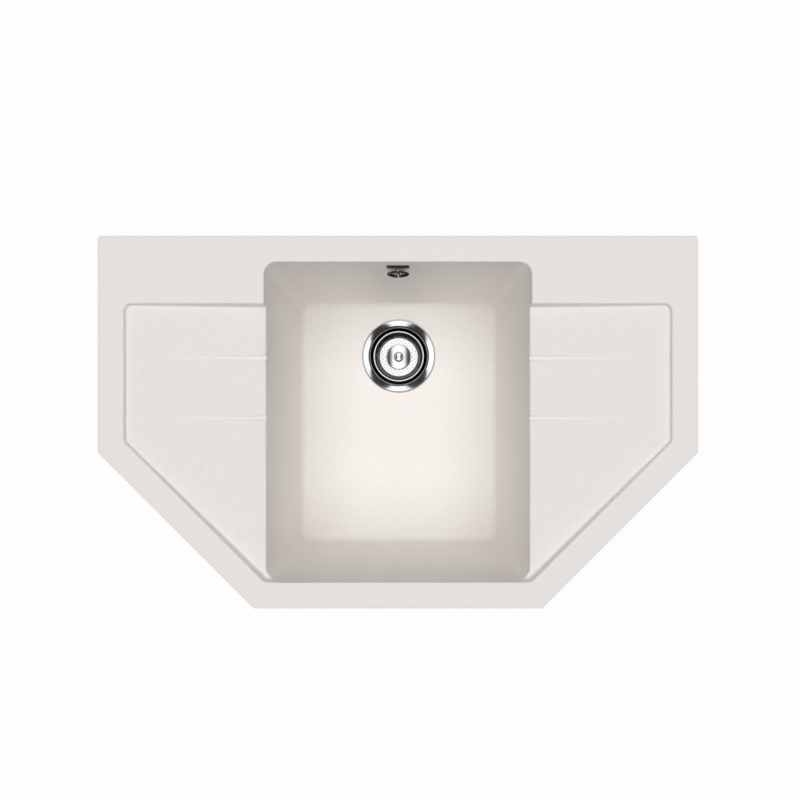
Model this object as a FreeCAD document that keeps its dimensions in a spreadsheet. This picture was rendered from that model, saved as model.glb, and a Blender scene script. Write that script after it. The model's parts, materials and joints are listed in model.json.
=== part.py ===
"""Kitchen sink with two drainers, a central bowl, strainer waste, overflow and fixing clips.

Millimetres. X runs to the right along the rear edge, Y to the rear, where the overflow is, and
Z up. The origin is the middle of the outline on the underside of the rim, so Z = 0 is the top
of the worktop that the sink lies on.
"""
import FreeCAD, Part
import math
import operator
import os
import types

import Sketcher

Vector = FreeCAD.Vector
doc = FreeCAD.newDocument("kitchen_sink")


# ---------------------------------------------------------------- driving dimensions

# deck
DECK_WIDTH = 780  # outline, left to right
DECK_LENGTH = 484  # outline, front to rear
DECK_THICK = 9  # rim, from the worktop to its top
CORNER_CUT = 202.6  # leg of the 45 degree cut at each front corner
REAR_CORNER_RADIUS = 4  # rear corners of the outline
DECK_EDGE_RADIUS = 2  # rounded top edge of the outline
RIM_WIDTH = 34  # flat rim round the drainers and the bowl
LEDGE_WIDTH = 88  # flat ledge behind each drainer
DROP_MARGIN = 7  # underside block, past the drainer all round
DROP_DEPTH = 9  # underside block, below the worktop's top
SEAL_INSET = 3  # seal groove, in from the outline
SEAL_WIDTH = 8  # seal strip and its groove
SEAL_THICK = 2  # seal strip when the sink is clamped down

# drainers
RECESS_OUTER = 5  # depth of a drainer at its outer end
RECESS_INNER = 10  # depth of a drainer at the bowl
RECESS_DRAFT = 15  # slope of the step, degrees off upright
RECESS_CORNER_RADIUS = 10  # corners of the drainer fields
RECESS_FOOT_RADIUS = 3  # hollow at the foot of the step
RECESS_TOP_RADIUS = 2  # rounded top of the step
GROOVE_WIDTH = 3.8  # floor of a drain groove at the bowl
GROOVE_END_WIDTH = 2.6  # floor of a drain groove at its shallow end
GROOVE_DEPTH = 1  # drain groove at the bowl
GROOVE_DRAFT = 45  # slope of a drain groove's sides, degrees off upright
GROOVE_LENGTH = 138  # drain groove, from the bowl's edge
GROOVE_FRONT = 5  # front groove, from the middle of the outline
GROOVE_PITCH = 79  # from the front groove to the rear groove

# bowl
BOWL_WIDTH = 348  # opening, left to right
BOWL_DEPTH = 195  # rim to floor at the drain
BOWL_DRAFT = 6  # slope of the walls, degrees off upright
BOWL_CORNER_RADIUS = 17  # upright corners
BOWL_FOOT_RADIUS = 10  # between walls and floor
BOWL_LIP_RADIUS = 1.8  # rounded edge of the opening
BOWL_WALL = 8  # wall and floor
BOWL_UNDER_RADIUS = 16  # outside edge of the floor
FLOOR_FALL = 0.5  # fall of the floor to the rear, degrees

# clips
CLIP_INSET = 32  # clip screws, in from the outline
REAR_CLIP = 310  # rear clips, from the middle
SIDE_CLIP = 85  # side clips, behind the middle
CORNER_CLIP = 62  # first clip on a cut corner, along it
CORNER_CLIP_PITCH = 158  # between the clips on a cut corner
BOSS_RADIUS = 9  # boss for a clip's insert
BOSS_DEPTH = 22  # bosses, below the worktop's top
BEARING_WIDTH = 40  # pad that a bracket's heel bears on
BEARING_REACH = 22  # pad, in from the screw
BEARING_FRONT = 12  # pad, out from the screw
INSERT_RADIUS = 4  # brass sleeve, outside
INSERT_LENGTH = 14  # brass sleeve
INSERT_RELIEF = 5  # room for the screw's tip over the sleeve
TIP_GAP = 0.5  # round a screw's tip
CLIP_SCREW_RADIUS = 2.5  # M5 clip screw
CLIP_SCREW_GAP = 0.05  # running gap round a clip screw
CLIP_HEAD_RADIUS = 5  # head of a clip screw
CLIP_HEAD_HEIGHT = 3.5  # head of a clip screw
CLIP_TIP_DEPTH = 4  # tip of a clip screw, below the worktop's top
CLIP_SOCKET = 4  # hexagon in the head, across flats
BRACKET_SHEET = 2.5  # steel strip of a bracket
BRACKET_WIDTH = 16  # steel strip of a bracket
BRACKET_BEND = 1  # bends of a bracket, inside
HEEL_REACH = 16.5  # bracket, from the screw in to its heel
JAW_REACH = 28  # bracket, from the screw out to its tip
JAW_LEG = 16.5  # bracket, from the screw out to its outer leg
WORKTOP_LEAST = 30  # thinnest worktop that the jaws hold
JAW_STEP = 8  # jaw above the strip's middle
HEEL_GAP = 0.3  # heel below its pad at rest

# tap holes
TAP_RADIUS = 17.5  # blind tap hole from below
TAP_SKIN = 3  # left above a blind tap hole
TAP_SIDE = 240  # tap holes, from the middle
TAP_REAR = 42  # tap holes, in from the rear edge

# strainer waste
DRAIN_REAR = 105  # drain, behind the middle of the outline
FLANGE_RADIUS = 57  # ring that shows in the floor
FLANGE_LIP = 1.6  # ring's thickness at its outer edge
FLANGE_DISH = 0.9  # ring's fall to the throat
FLANGE_SUNK = 0.5  # ring's edge below the floor at the drain
SEAT_GAP = 1.5  # round the ring in its seat
GASKET_THICK = 1.5  # gasket under the ring
GASKET_GAP = 1  # gaskets, back from the edges that they seal
THROAT_RADIUS = 44.3  # mouth of the cup, inside
THROAT_BEND = 4.5  # bend from ring to cup
CUP_RADIUS = 42.5  # foot of the cup, inside
CUP_DEPTH = 30  # ring to the cup's floor
CUP_SHEET = 1  # steel of the cup
CUP_FOOT_RADIUS = 3  # bend at the cup's foot
WELL_RADIUS = 12  # well for the bolt's head
WELL_DEPTH = 4  # well in the cup's floor
SLOT_RADIUS = 6.8  # outlet holes in the cup's floor
SLOT_CIRCLE = 21.5  # circle of the outlet holes
SLOT_COUNT = 6  # outlet holes
FLOOR_HOLE_RADIUS = 46  # hole through the bowl's floor
FLOOR_HOLE_ROUND = 2  # rounded edge of that hole
WASTE_GASKET_THICK = 2.5  # gasket under the floor
WASTE_RIM_RADIUS = 54  # rim of the waste body
WASTE_RIM_THICK = 4  # rim of the waste body
WASTE_WALL = 3.2  # wall of the waste body
WASTE_INNER_RADIUS = 46.3  # waste body, inside
WASTE_STRAIGHT = 34  # ring to the start of the funnel
FUNNEL_HEIGHT = 16  # funnel of the waste body
OUTLET_RADIUS = 23.9  # outlet thread, G 1 1/2, outside
OUTLET_BORE_RADIUS = 19.5  # outlet, inside
OUTLET_LENGTH = 24  # outlet below the funnel
HUB_RADIUS = 10  # hub for the bolt's nut
HUB_LENGTH = 24  # hub for the bolt's nut
HUB_GAP = 1  # hub below the cup's well
RIB_THICK = 4  # ribs that hold the hub
RIB_COUNT = 3  # ribs that hold the hub
BOLT_RADIUS = 5  # hollow bolt
BOLT_GAP = 0.3  # round the bolt in its holes
BOLT_HEAD_RADIUS = 9  # head of the bolt
BOLT_HEAD_HEIGHT = 3.5  # head of the bolt
BOLT_LENGTH = 22  # bolt below its head
NUT_RADIUS = 7.5  # brass nut in the hub
NUT_LENGTH = 12  # brass nut in the hub
NUT_COVER = 2  # hub over its nut, and under the bolt's end
THREAD_GAP = 0.02  # between a thread and its nut

# basket
BASKET_RIM_RADIUS = 39.2  # middle of the rolled rim
BASKET_RIM_WIRE = 1.2  # radius of the rolled rim
BASKET_RIM_DEPTH = 6  # rolled rim below the ring
BASKET_SHEET = 0.8  # steel of the basket
BASKET_FLOOR_RADIUS = 31.8  # foot of the basket's wall
BASKET_FLOOR_DEPTH = 18  # basket's floor below the ring
BASKET_FOOT_RADIUS = 2.4  # bend at the wall's foot
DISH_RADIUS = 19.9  # raised middle of the floor
DISH_HEIGHT = 3  # raised middle of the floor
HOLE_RADIUS = 0.75  # holes of the basket
HOLE_COUNT = 20  # holes in each ring
HOLE_RING_ONE = 22.3  # innermost ring of holes
HOLE_RING_TWO = 25.2  # second ring of holes
HOLE_RING_THREE = 28.1  # third ring of holes
HOLE_RING_FOUR = 31.1  # outer ring of holes, at the wall's foot
KNOB_RADIUS = 7.7  # knob
KNOB_HEIGHT = 5  # knob above the basket's middle
KNOB_WAIST_RADIUS = 5.2  # waist under the knob
KNOB_WAIST_HEIGHT = 1.6  # waist under the knob
KNOB_FLARE = 1.2  # from the waist to the knob
KNOB_ROUND = 1.5  # rounded top of the knob
KNOB_BORE = 3.5  # stem in the knob
STEM_RADIUS = 3  # stem under the knob
STEM_SHOULDER_RADIUS = 5  # stem under the basket
STEM_REACH = 38  # stem's end below the ring
STEM_GAP = 0.06  # running gap round the stem
BASKET_PLAY = 0.1  # above and below the basket on its stem
SEAL_RADIUS = 33  # rubber seal, outside
SEAL_BORE_RADIUS = 13  # rubber seal, inside
STOPPER_THICK = 3  # rubber seal
PLATE_RADIUS = 31  # plate over the seal
PLATE_THICK = 1.5  # plate over the seal
CLIP_RING_RADIUS = 5  # circlip on the stem, outside
CLIP_RING_THICK = 1  # circlip on the stem
SOCKET_GAP = 0.4  # round the stem's end in the hollow bolt
SOCKET_SPARE = 4  # hollow bolt below the stem's end

# overflow
OVERFLOW_DEPTH = 42.5  # overflow below the top of the rim
OVERFLOW_HOLE_RADIUS = 13  # hole in the rear wall
ROSETTE_RADIUS = 16.2  # rosette
ROSETTE_THICK = 2.4  # rosette, proud of the wall
ROSETTE_EDGE = 1.2  # rounded edge of the rosette
ROSETTE_BORE_RADIUS = 11.6  # openings of the rosette
ROSETTE_COLLAR = 4  # rosette's collar in the hole
ROSETTE_FIT = 0.3  # round the collar
ROSETTE_BAR = 2.6  # bars across the rosette
ROSETTE_BAR_THICK = 1.8  # bars across the rosette
ROSETTE_HUB_RADIUS = 5  # middle of the rosette
SCREW_RADIUS = 2.5  # M5 screw of the rosette
SCREW_HEAD_RADIUS = 4.3  # head of that screw
SCREW_HEAD_HEIGHT = 2  # head of that screw
SCREW_SLOT = 1.2  # slot in its head
SCREW_SLOT_TURN = 75  # slot, turned from level, degrees
OVERFLOW_GASKET_THICK = 2  # gasket behind the wall
CHAMBER_RADIUS = 20.5  # elbow's chamber
CHAMBER_THICK = 11  # elbow's chamber
CHAMBER_WALL = 2  # elbow's walls
CHAMBER_MOUTH_RADIUS = 14  # elbow's opening to the wall
ELBOW_BOSS_RADIUS = 5.5  # boss for the screw's nut
ELBOW_NUT_RADIUS = 3.5  # brass nut in the elbow
ELBOW_NUT_LENGTH = 5  # brass nut in the elbow
BOSS_GAP = 1  # elbow's boss behind its mouth
SPIGOT_RADIUS = 11.6  # threaded spigots for the hose
SPIGOT_BORE_RADIUS = 8  # spigots, inside
SPIGOT_BEHIND = 17  # upper spigot, in from the rear edge
SPIGOT_DROP = 6  # upper spigot's closed top, below the overflow's axis
SPIGOT_LENGTH = 34  # upper spigot
PLATE_WIDTH = 30  # name plate
PLATE_HEIGHT = 10.5  # name plate
PLATE_SHEET = 0.8  # name plate
PLATE_DEPTH = 19.2  # name plate's middle below the top of the rim
PLATE_CORNER_RADIUS = 1.5  # corners of the name plate

# overflow hose
BRANCH_DEPTH = 30  # waste body's branch below the ring
BRANCH_REACH = 61  # branch, from the drain's axis
HOSE_BEND_RADIUS = 39  # bend of the hose
HOSE_CUFF = 20  # smooth straight end of the hose
HOSE_RADIUS = 10  # over the ribs
HOSE_VALLEY_RADIUS = 8.7  # between the ribs
HOSE_BORE_RADIUS = 7.5  # inside
RIB_PITCH = 4  # from rib to rib
HOSE_NUT_RADIUS = 13.4  # union nut without its grips
HOSE_NUT_LENGTH = 14  # union nut
HOSE_NUT_COVER = 8  # union nut over its spigot
HOSE_NUT_GAP = 0.3  # round spigot and hose in the nut
GRIP_HEIGHT = 1.1  # grips on a union nut
GRIP_WIDTH = 3  # grips on a union nut
GRIP_COUNT = 8  # grips on a union nut
WASHER_THICK = 3  # rubber ring in a union nut


class Dim:
    """A size with its value and the expression that gives it in the document."""

    def __init__(self, value, text):
        self.value = value
        self.text = text

    def __add__(self, other):
        return combined(self, "+", other)

    def __radd__(self, other):
        return combined(other, "+", self)

    def __sub__(self, other):
        return combined(self, "-", other)

    def __rsub__(self, other):
        return combined(other, "-", self)

    def __mul__(self, other):
        return combined(self, "*", other)

    def __rmul__(self, other):
        return combined(other, "*", self)

    def __truediv__(self, other):
        return combined(self, "/", other)

    def __neg__(self):
        return combined(0, "-", self)


SIGNS = {"+": operator.add, "-": operator.sub, "*": operator.mul, "/": operator.truediv}


def dim(number):
    """A plain number as a size."""
    return number if isinstance(number, Dim) else Dim(float(number), f"({float(number)})")


def combined(first, sign, second):
    """Two sizes joined by one of the four signs."""
    first, second = dim(first), dim(second)
    return Dim(SIGNS[sign](first.value, second.value), f"({first.text} {sign} {second.text})")


def tan(angle):
    return Dim(math.tan(math.radians(angle.value)), f"tan({angle.text})")


def cos(angle):
    return Dim(math.cos(math.radians(angle.value)), f"cos({angle.text})")


def sin(angle):
    return Dim(math.sin(math.radians(angle.value)), f"sin({angle.text})")


def dimension_sheet():
    """The spreadsheet with every value above, and one size for each of its rows."""
    sheet = doc.addObject("Spreadsheet::Sheet", "Sizes")
    sizes = types.SimpleNamespace()
    values = [(name.lower(), value) for name, value in globals().items()
              if name.isupper() and isinstance(value, (int, float))]
    for row, (name, value) in enumerate(values, 1):
        sheet.set(f"A{row}", name)
        sheet.set(f"B{row}", str(value))
        sheet.setAlias(f"B{row}", name)
        setattr(sizes, name, Dim(float(value), f"Sizes.{name}"))
    return sizes


size = dimension_sheet()


# ---------------------------------------------------------------- ways to make a solid

def bind(thing, path, value):
    """Give a property its size, as an expression where it comes from the sheet."""
    if isinstance(value, Dim):
        thing.setExpression(path, value.text)
    elif "." not in path:
        setattr(thing, path, value)


def place(thing, spot=(0, 0, 0), axis=(0, 0, 1), angle=0):
    """Put an object at a spot, turned about an axis through it."""
    start = Vector(*[dim(value).value for value in spot])
    thing.Placement = FreeCAD.Placement(start, FreeCAD.Rotation(Vector(*axis), dim(angle).value))
    for letter, value in zip("xyz", spot):
        bind(thing, f"Placement.Base.{letter}", value)
    bind(thing, "Placement.Rotation.Angle", angle)
    return thing


def cylinder(name, radius, height, *where):
    solid = doc.addObject("Part::Cylinder", name)
    bind(solid, "Radius", radius)
    bind(solid, "Height", height)
    return place(solid, *where)


def box(name, length, width, height, *where):
    solid = doc.addObject("Part::Box", name)
    bind(solid, "Length", length)
    bind(solid, "Width", width)
    bind(solid, "Height", height)
    return place(solid, *where)


def cut(name, base, tool):
    solid = doc.addObject("Part::Cut", name)
    solid.Base = base
    solid.Tool = tool
    return solid


def fuse(name, *pieces):
    solid = doc.addObject("Part::MultiFuse", name)
    solid.Shapes = list(pieces)
    return solid


def ring(name, outer, inner, height, *where):
    """A plain ring: a disc with a hole."""
    disc = cylinder(f"{name}_disc", outer, height, *where)
    hole = cylinder(f"{name}_hole", inner, height, *where)
    return cut(name, disc, hole)


def sketch(body, name, role, loops=(), circles=(), level=0):
    """A sketch on one of a body's own planes, raised to a level, with every corner dimensioned."""
    drawing = body.newObject("Sketcher::SketchObject", name)
    plane = [datum for datum in body.Origin.OriginFeatures if datum.Role == role][0]
    drawing.AttachmentSupport = (plane, [""])
    drawing.MapMode = "FlatFace"
    drawing.AttachmentOffset = FreeCAD.Placement(Vector(0, 0, dim(level).value), FreeCAD.Rotation())
    bind(drawing, "AttachmentOffset.Base.z", level)

    def fix(kind, on_axis, axis_line, line, point, value):
        value = dim(value)
        if abs(value.value) < 1e-9:
            drawing.addConstraint(Sketcher.Constraint(on_axis, line, point, axis_line))
            return
        rule = Sketcher.Constraint(kind, -1, 1, line, point, value.value)
        bind(drawing, f"Constraints[{drawing.addConstraint(rule)}]", value)

    for loop in loops:
        corners = [Vector(dim(x).value, dim(y).value, 0) for x, y in loop]
        ends = corners[1:] + corners[:1]
        lines = [drawing.addGeometry(Part.LineSegment(a, b), False) for a, b in zip(corners, ends)]
        for line, following in zip(lines, lines[1:] + lines[:1]):
            drawing.addConstraint(Sketcher.Constraint("Coincident", line, 2, following, 1))
        for line, (x, y) in zip(lines, loop):
            fix("DistanceX", "PointOnObject", -2, line, 1, x)
            fix("DistanceY", "PointOnObject", -1, line, 1, y)
    for x, y, radius in circles:
        spot = Vector(dim(x).value, dim(y).value, 0)
        circle = Part.Circle(spot, Vector(0, 0, 1), dim(radius).value)
        edge = drawing.addGeometry(circle, False)
        fix("DistanceX", "PointOnObject", -2, edge, 3, x)
        fix("DistanceY", "PointOnObject", -1, edge, 3, y)
        rule = Sketcher.Constraint("Radius", edge, dim(radius).value)
        bind(drawing, f"Constraints[{drawing.addConstraint(rule)}]", dim(radius))
    return drawing


def feature(body, kind, name, drawing, length, up=True, taper=None):
    """A Pad or Pocket of a sketch, by its length, upwards or downwards."""
    step = body.newObject(f"PartDesign::{kind}", name)
    step.Profile = drawing
    bind(step, "Length", length)
    step.Reversed = up if kind == "Pocket" else not up
    if taper is not None:
        bind(step, "TaperAngle", taper)
    return step


def take_away(body, name, core):
    """Cut a core out of a body."""
    step = body.newObject("PartDesign::Boolean", name)
    step.setObjects([core])
    step.Type = "Cut"
    return step


def new_body(name):
    return doc.addObject("PartDesign::Body", name)


def turned(name, outline, *where):
    """A body turned from the outline of its half section, given as radius and height."""
    body = new_body(name)
    drawing = sketch(body, f"{name}_section", "XZ_Plane", [outline])
    turn = body.newObject("PartDesign::Revolution", f"{name}_turned")
    turn.Profile = drawing
    turn.ReferenceAxis = (drawing, ["V_Axis"])
    turn.Angle = 360
    return place(body, *where)


def round_edges(body, name, radius, chosen):
    """Round those edges of a body that a test picks."""
    doc.recompute()
    base = body.Tip
    names = [f"Edge{i + 1}" for i, edge in enumerate(base.Shape.Edges) if chosen(edge)]
    if not names:
        raise ValueError(f"{name} finds no edge")
    step = body.newObject("PartDesign::Fillet", name)
    step.Base = (base, names)
    bind(step, "Radius", radius)
    return step


def circle_edge(radius, level):
    """A test that picks the circular edge of a turned body by its radius and height."""
    def chosen(edge):
        bounds = edge.BoundBox
        flat = bounds.ZLength < TOUCH and abs(bounds.ZMin - dim(level).value) < TOUCH
        return flat and abs(bounds.XLength / 2 - dim(radius).value) < 10 * TOUCH
    return chosen


def polar(body, name, source, count):
    """Copies of a feature round the body's Z axis."""
    pattern = body.newObject("PartDesign::PolarPattern", name)
    pattern.Originals = [source]
    pattern.Axis = ([datum for datum in body.Origin.OriginFeatures if datum.Role == "Z_Axis"][0], [""])
    pattern.Angle = 360
    pattern.Occurrences = int(count.value)
    pattern.setExpression("Occurrences", count.text)
    body.Tip = pattern
    return pattern


# ---------------------------------------------------------------- places that pieces share

deck_top = size.deck_thick
half_width = size.deck_width / 2
half_length = size.deck_length / 2
bowl_half_width = size.bowl_width / 2
bowl_half_length = half_length - size.rim_width
floor_level = deck_top - size.bowl_depth
under_floor = floor_level - size.bowl_wall
ring_level = floor_level - size.flange_sunk
seat_depth = size.flange_lip + size.gasket_thick
drainer_slope = (size.recess_inner - size.recess_outer) / (half_width - size.rim_width - bowl_half_width)
drain = (0, size.drain_rear, ring_level)
BEVEL = math.sqrt(2) - 1
DIAGONAL = math.sqrt(0.5)
SPARE = 20  # how far a cutter reaches past the solid that it cuts
SLIGHT = 1  # the same, where there is little room
TOUCH = 1e-3  # how near two places are to count as one


def outline(inset, rear=None):
    """The deck's outline moved inwards, from the rear right corner anticlockwise."""
    side = half_width - inset
    front = half_length - inset
    rear = front if rear is None else rear
    cut_side = size.corner_cut + BEVEL * inset - half_length
    cut_front = half_width - size.corner_cut - BEVEL * inset
    return [(side, rear), (-side, rear), (-side, cut_side),
            (-cut_front, -front), (cut_front, -front), (side, cut_side)]


def rectangle(side, front):
    return [(side, front), (-side, front), (-side, -front), (side, -front)]


def clip_stations():
    """Each clip's screw and the way its jaw points: place, unit vector and angle."""
    corner = [(size.corner_clip + step * size.corner_clip_pitch) * DIAGONAL for step in (0, 1)]
    inset = size.clip_inset
    slant = inset * DIAGONAL
    right = [((size.rear_clip, half_length - inset), (0, 1), 90),
             ((half_width - inset, size.side_clip), (1, 0), 0)]
    for along in corner:
        x = half_width - along - slant
        y = size.corner_cut - half_length - along + slant
        right.append(((x, y), (DIAGONAL, -DIAGONAL), -45))
    left = [((-x, y), (-u, v), 180 - angle) for (x, y), (u, v), angle in right]
    return right + left


CLIPS = clip_stations()


def on_wall(depth, out=0):
    """The spot on the middle of the bowl's rear wall at a depth, moved out along its normal."""
    y = bowl_half_length - depth * tan(size.bowl_draft) + out * cos(size.bowl_draft)
    z = deck_top - depth - out * sin(size.bowl_draft)
    return (0, y, z)


THROUGH_WALL = ((-1, 0, 0), 90 + size.bowl_draft)
wall_thick = size.bowl_wall * cos(size.bowl_draft)
RIB_SLOPE = 0.2  # of a rib's pitch, for each of its slopes and for the valley


# ---------------------------------------------------------------- sink_body

def drafted_core(name, corners, depth, draft, section_plane, section):
    """A tapered block hanging from the deck's top, cut off below by the section of its floor."""
    body = new_body(name)
    drawing = sketch(body, f"{name}_plan", "XY_Plane", [corners], level=deck_top)
    feature(body, "Pad", f"{name}_block", drawing, depth, up=False, taper=-draft)
    below = sketch(body, f"{name}_below", section_plane, [section])
    floor = feature(body, "Pocket", f"{name}_floor", below, 4 * size.deck_length)
    floor.Midplane = True
    return body


def upright(edge):
    """Whether an edge rises more than it runs."""
    bounds = edge.BoundBox
    return bounds.ZLength > max(bounds.XLength, bounds.YLength)


def recess_core():
    """The space of both drainer fields, with floors that fall to the bowl."""
    middle = deck_top - size.recess_inner - bowl_half_width * drainer_slope
    edge = middle + half_width * drainer_slope
    deep = middle - SPARE
    section = [(half_width, edge), (0, middle), (-half_width, edge),
               (-half_width, deep), (half_width, deep)]
    corners = outline(size.rim_width, half_length - size.ledge_width)
    depth = deck_top - middle + SPARE / 2
    body = drafted_core("recess_core", corners, depth, size.recess_draft, "XZ_Plane", section)
    round_edges(body, "recess_corners", size.recess_corner_radius, upright)
    lowest = deck_top.value - size.recess_outer.value
    round_edges(body, "recess_foot", size.recess_foot_radius,
                lambda e: e.BoundBox.ZMax < lowest + SLIGHT and not (
                    e.BoundBox.XLength < TOUCH and abs(e.BoundBox.XMin) < TOUCH))
    return body


def bowl_core():
    """The space of the bowl, with a floor that falls to the rear."""
    fall = tan(size.floor_fall)
    far = size.deck_length
    rise = floor_level + (far + size.drain_rear) * fall
    drop = floor_level - (far - size.drain_rear) * fall
    deep = floor_level - 2 * SPARE
    section = [(far, drop), (-far, rise), (-far, deep), (far, deep)]
    corners = rectangle(bowl_half_width, bowl_half_length)
    depth = size.bowl_depth + SPARE
    body = drafted_core("bowl_core", corners, depth, size.bowl_draft, "YZ_Plane", section)
    round_edges(body, "bowl_corners", size.bowl_corner_radius, upright)
    floor = floor_level.value + SPARE / 2
    round_edges(body, "bowl_foot", size.bowl_foot_radius, lambda e: e.BoundBox.ZMax < floor)
    return body


def inside_rim(edge):
    """Whether an edge lies well inside the outline, among the drainers and the bowl."""
    bounds = edge.BoundBox
    margin = size.rim_width.value / 2
    spot = edge.CenterOfMass
    reach = half_width.value + half_length.value - size.corner_cut.value
    return (max(abs(bounds.XMin), abs(bounds.XMax)) < half_width.value - margin
            and max(abs(bounds.YMin), abs(bounds.YMax)) < half_length.value - margin
            and abs(spot.x) - spot.y < reach - margin)


def bowl_lip(name, shape, chosen):
    """A cove that rounds a chain of the opening's edges, swept along them."""
    chain = Part.Wire(Part.__sortEdges__([edge for edge in shape.Edges if chosen(edge)]))
    ends = (chain.OrderedVertexes[0], chain.OrderedVertexes[-1])
    start = max(ends, key=lambda vertex: round(vertex.Y, 3)).Point
    side = math.copysign(1, start.x)
    radius = size.bowl_lip_radius.value
    lean = math.radians(size.bowl_draft.value)
    reach = radius * math.tan((math.pi / 2 - lean) / 2)
    spare = radius / 10

    def spot(across, up):
        return start + Vector(side * across, 0, up)

    deck_end = spot(reach + spare, 0)
    wall_end = spot(-reach * math.sin(lean), -reach * math.cos(lean) - spare)
    middle = spot(reach - radius * DIAGONAL, radius * DIAGONAL - radius)
    corners = [wall_end, spot(-radius, -radius), spot(-radius, radius), spot(reach + spare, radius), deck_end]
    sides = [Part.makeLine(a, b) for a, b in zip(corners, corners[1:])]
    section = Part.Wire([Part.Arc(deck_end, middle, wall_end).toShape()] + sides)
    sweep = Part.BRepOffsetAPI.MakePipeShell(chain)
    sweep.setBiNormalMode(Vector(0, 0, 1))
    sweep.setTransitionMode(1)
    sweep.add(section, False, False)
    sweep.build()
    sweep.makeSolid()
    solid = sweep.shape()
    if solid.Volume < 0:
        solid.reverse()
    cove = doc.addObject("Part::Feature", name)
    cove.Shape = solid
    return cove


def bowl_lips(shape):
    """The coves along the rear of the opening and along both its sides."""
    side_wall, rear_wall = bowl_half_width.value, bowl_half_length.value
    field = deck_top.value - size.recess_inner.value
    step = half_length.value - size.ledge_width.value

    def at_rear(edge):
        spot = edge.CenterOfMass
        return (edge.BoundBox.ZMin > deck_top.value - TOUCH and abs(spot.x) < side_wall + TOUCH
                and step + SLIGHT < spot.y < rear_wall + SLIGHT)

    def at_side(edge, side):
        bounds = edge.BoundBox
        out = side * edge.CenterOfMass.x
        level = field - SLIGHT / 2 < bounds.ZMin and bounds.ZMax < field + SLIGHT / 2
        return (level and side_wall - size.recess_corner_radius.value < out < side_wall
                and edge.Length > size.recess_corner_radius.value)

    return [bowl_lip("rear_lip", shape, at_rear),
            bowl_lip("right_lip", shape, lambda edge: at_side(edge, 1)),
            bowl_lip("left_lip", shape, lambda edge: at_side(edge, -1))]


def groove_core(name, side):
    """The space of a drainer's two grooves, which fade out as the floor rises."""
    body = new_body(name)
    wide = size.groove_width / 2
    narrow = size.groove_end_width / 2
    loops = []
    for row in (0, 1):
        y = size.groove_front + row * size.groove_pitch
        loops.append([(-side * SPARE / 2, y + wide), (-side * SPARE / 2, y - wide),
                      (side * size.groove_length, y - narrow), (side * size.groove_length, y + narrow)])
    feature(body, "Pad", f"{name}_block", sketch(body, f"{name}_plan", "XY_Plane", loops),
            size.recess_inner, taper=size.groove_draft)
    rise = drainer_slope + size.groove_depth / size.groove_length
    level = deck_top - size.recess_inner - size.groove_depth
    steep = Dim(math.degrees(math.atan(rise.value)), f"atan({rise.text})")
    return place(body, (side * bowl_half_width, 0, level), (0, -side, 0), steep)


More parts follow.
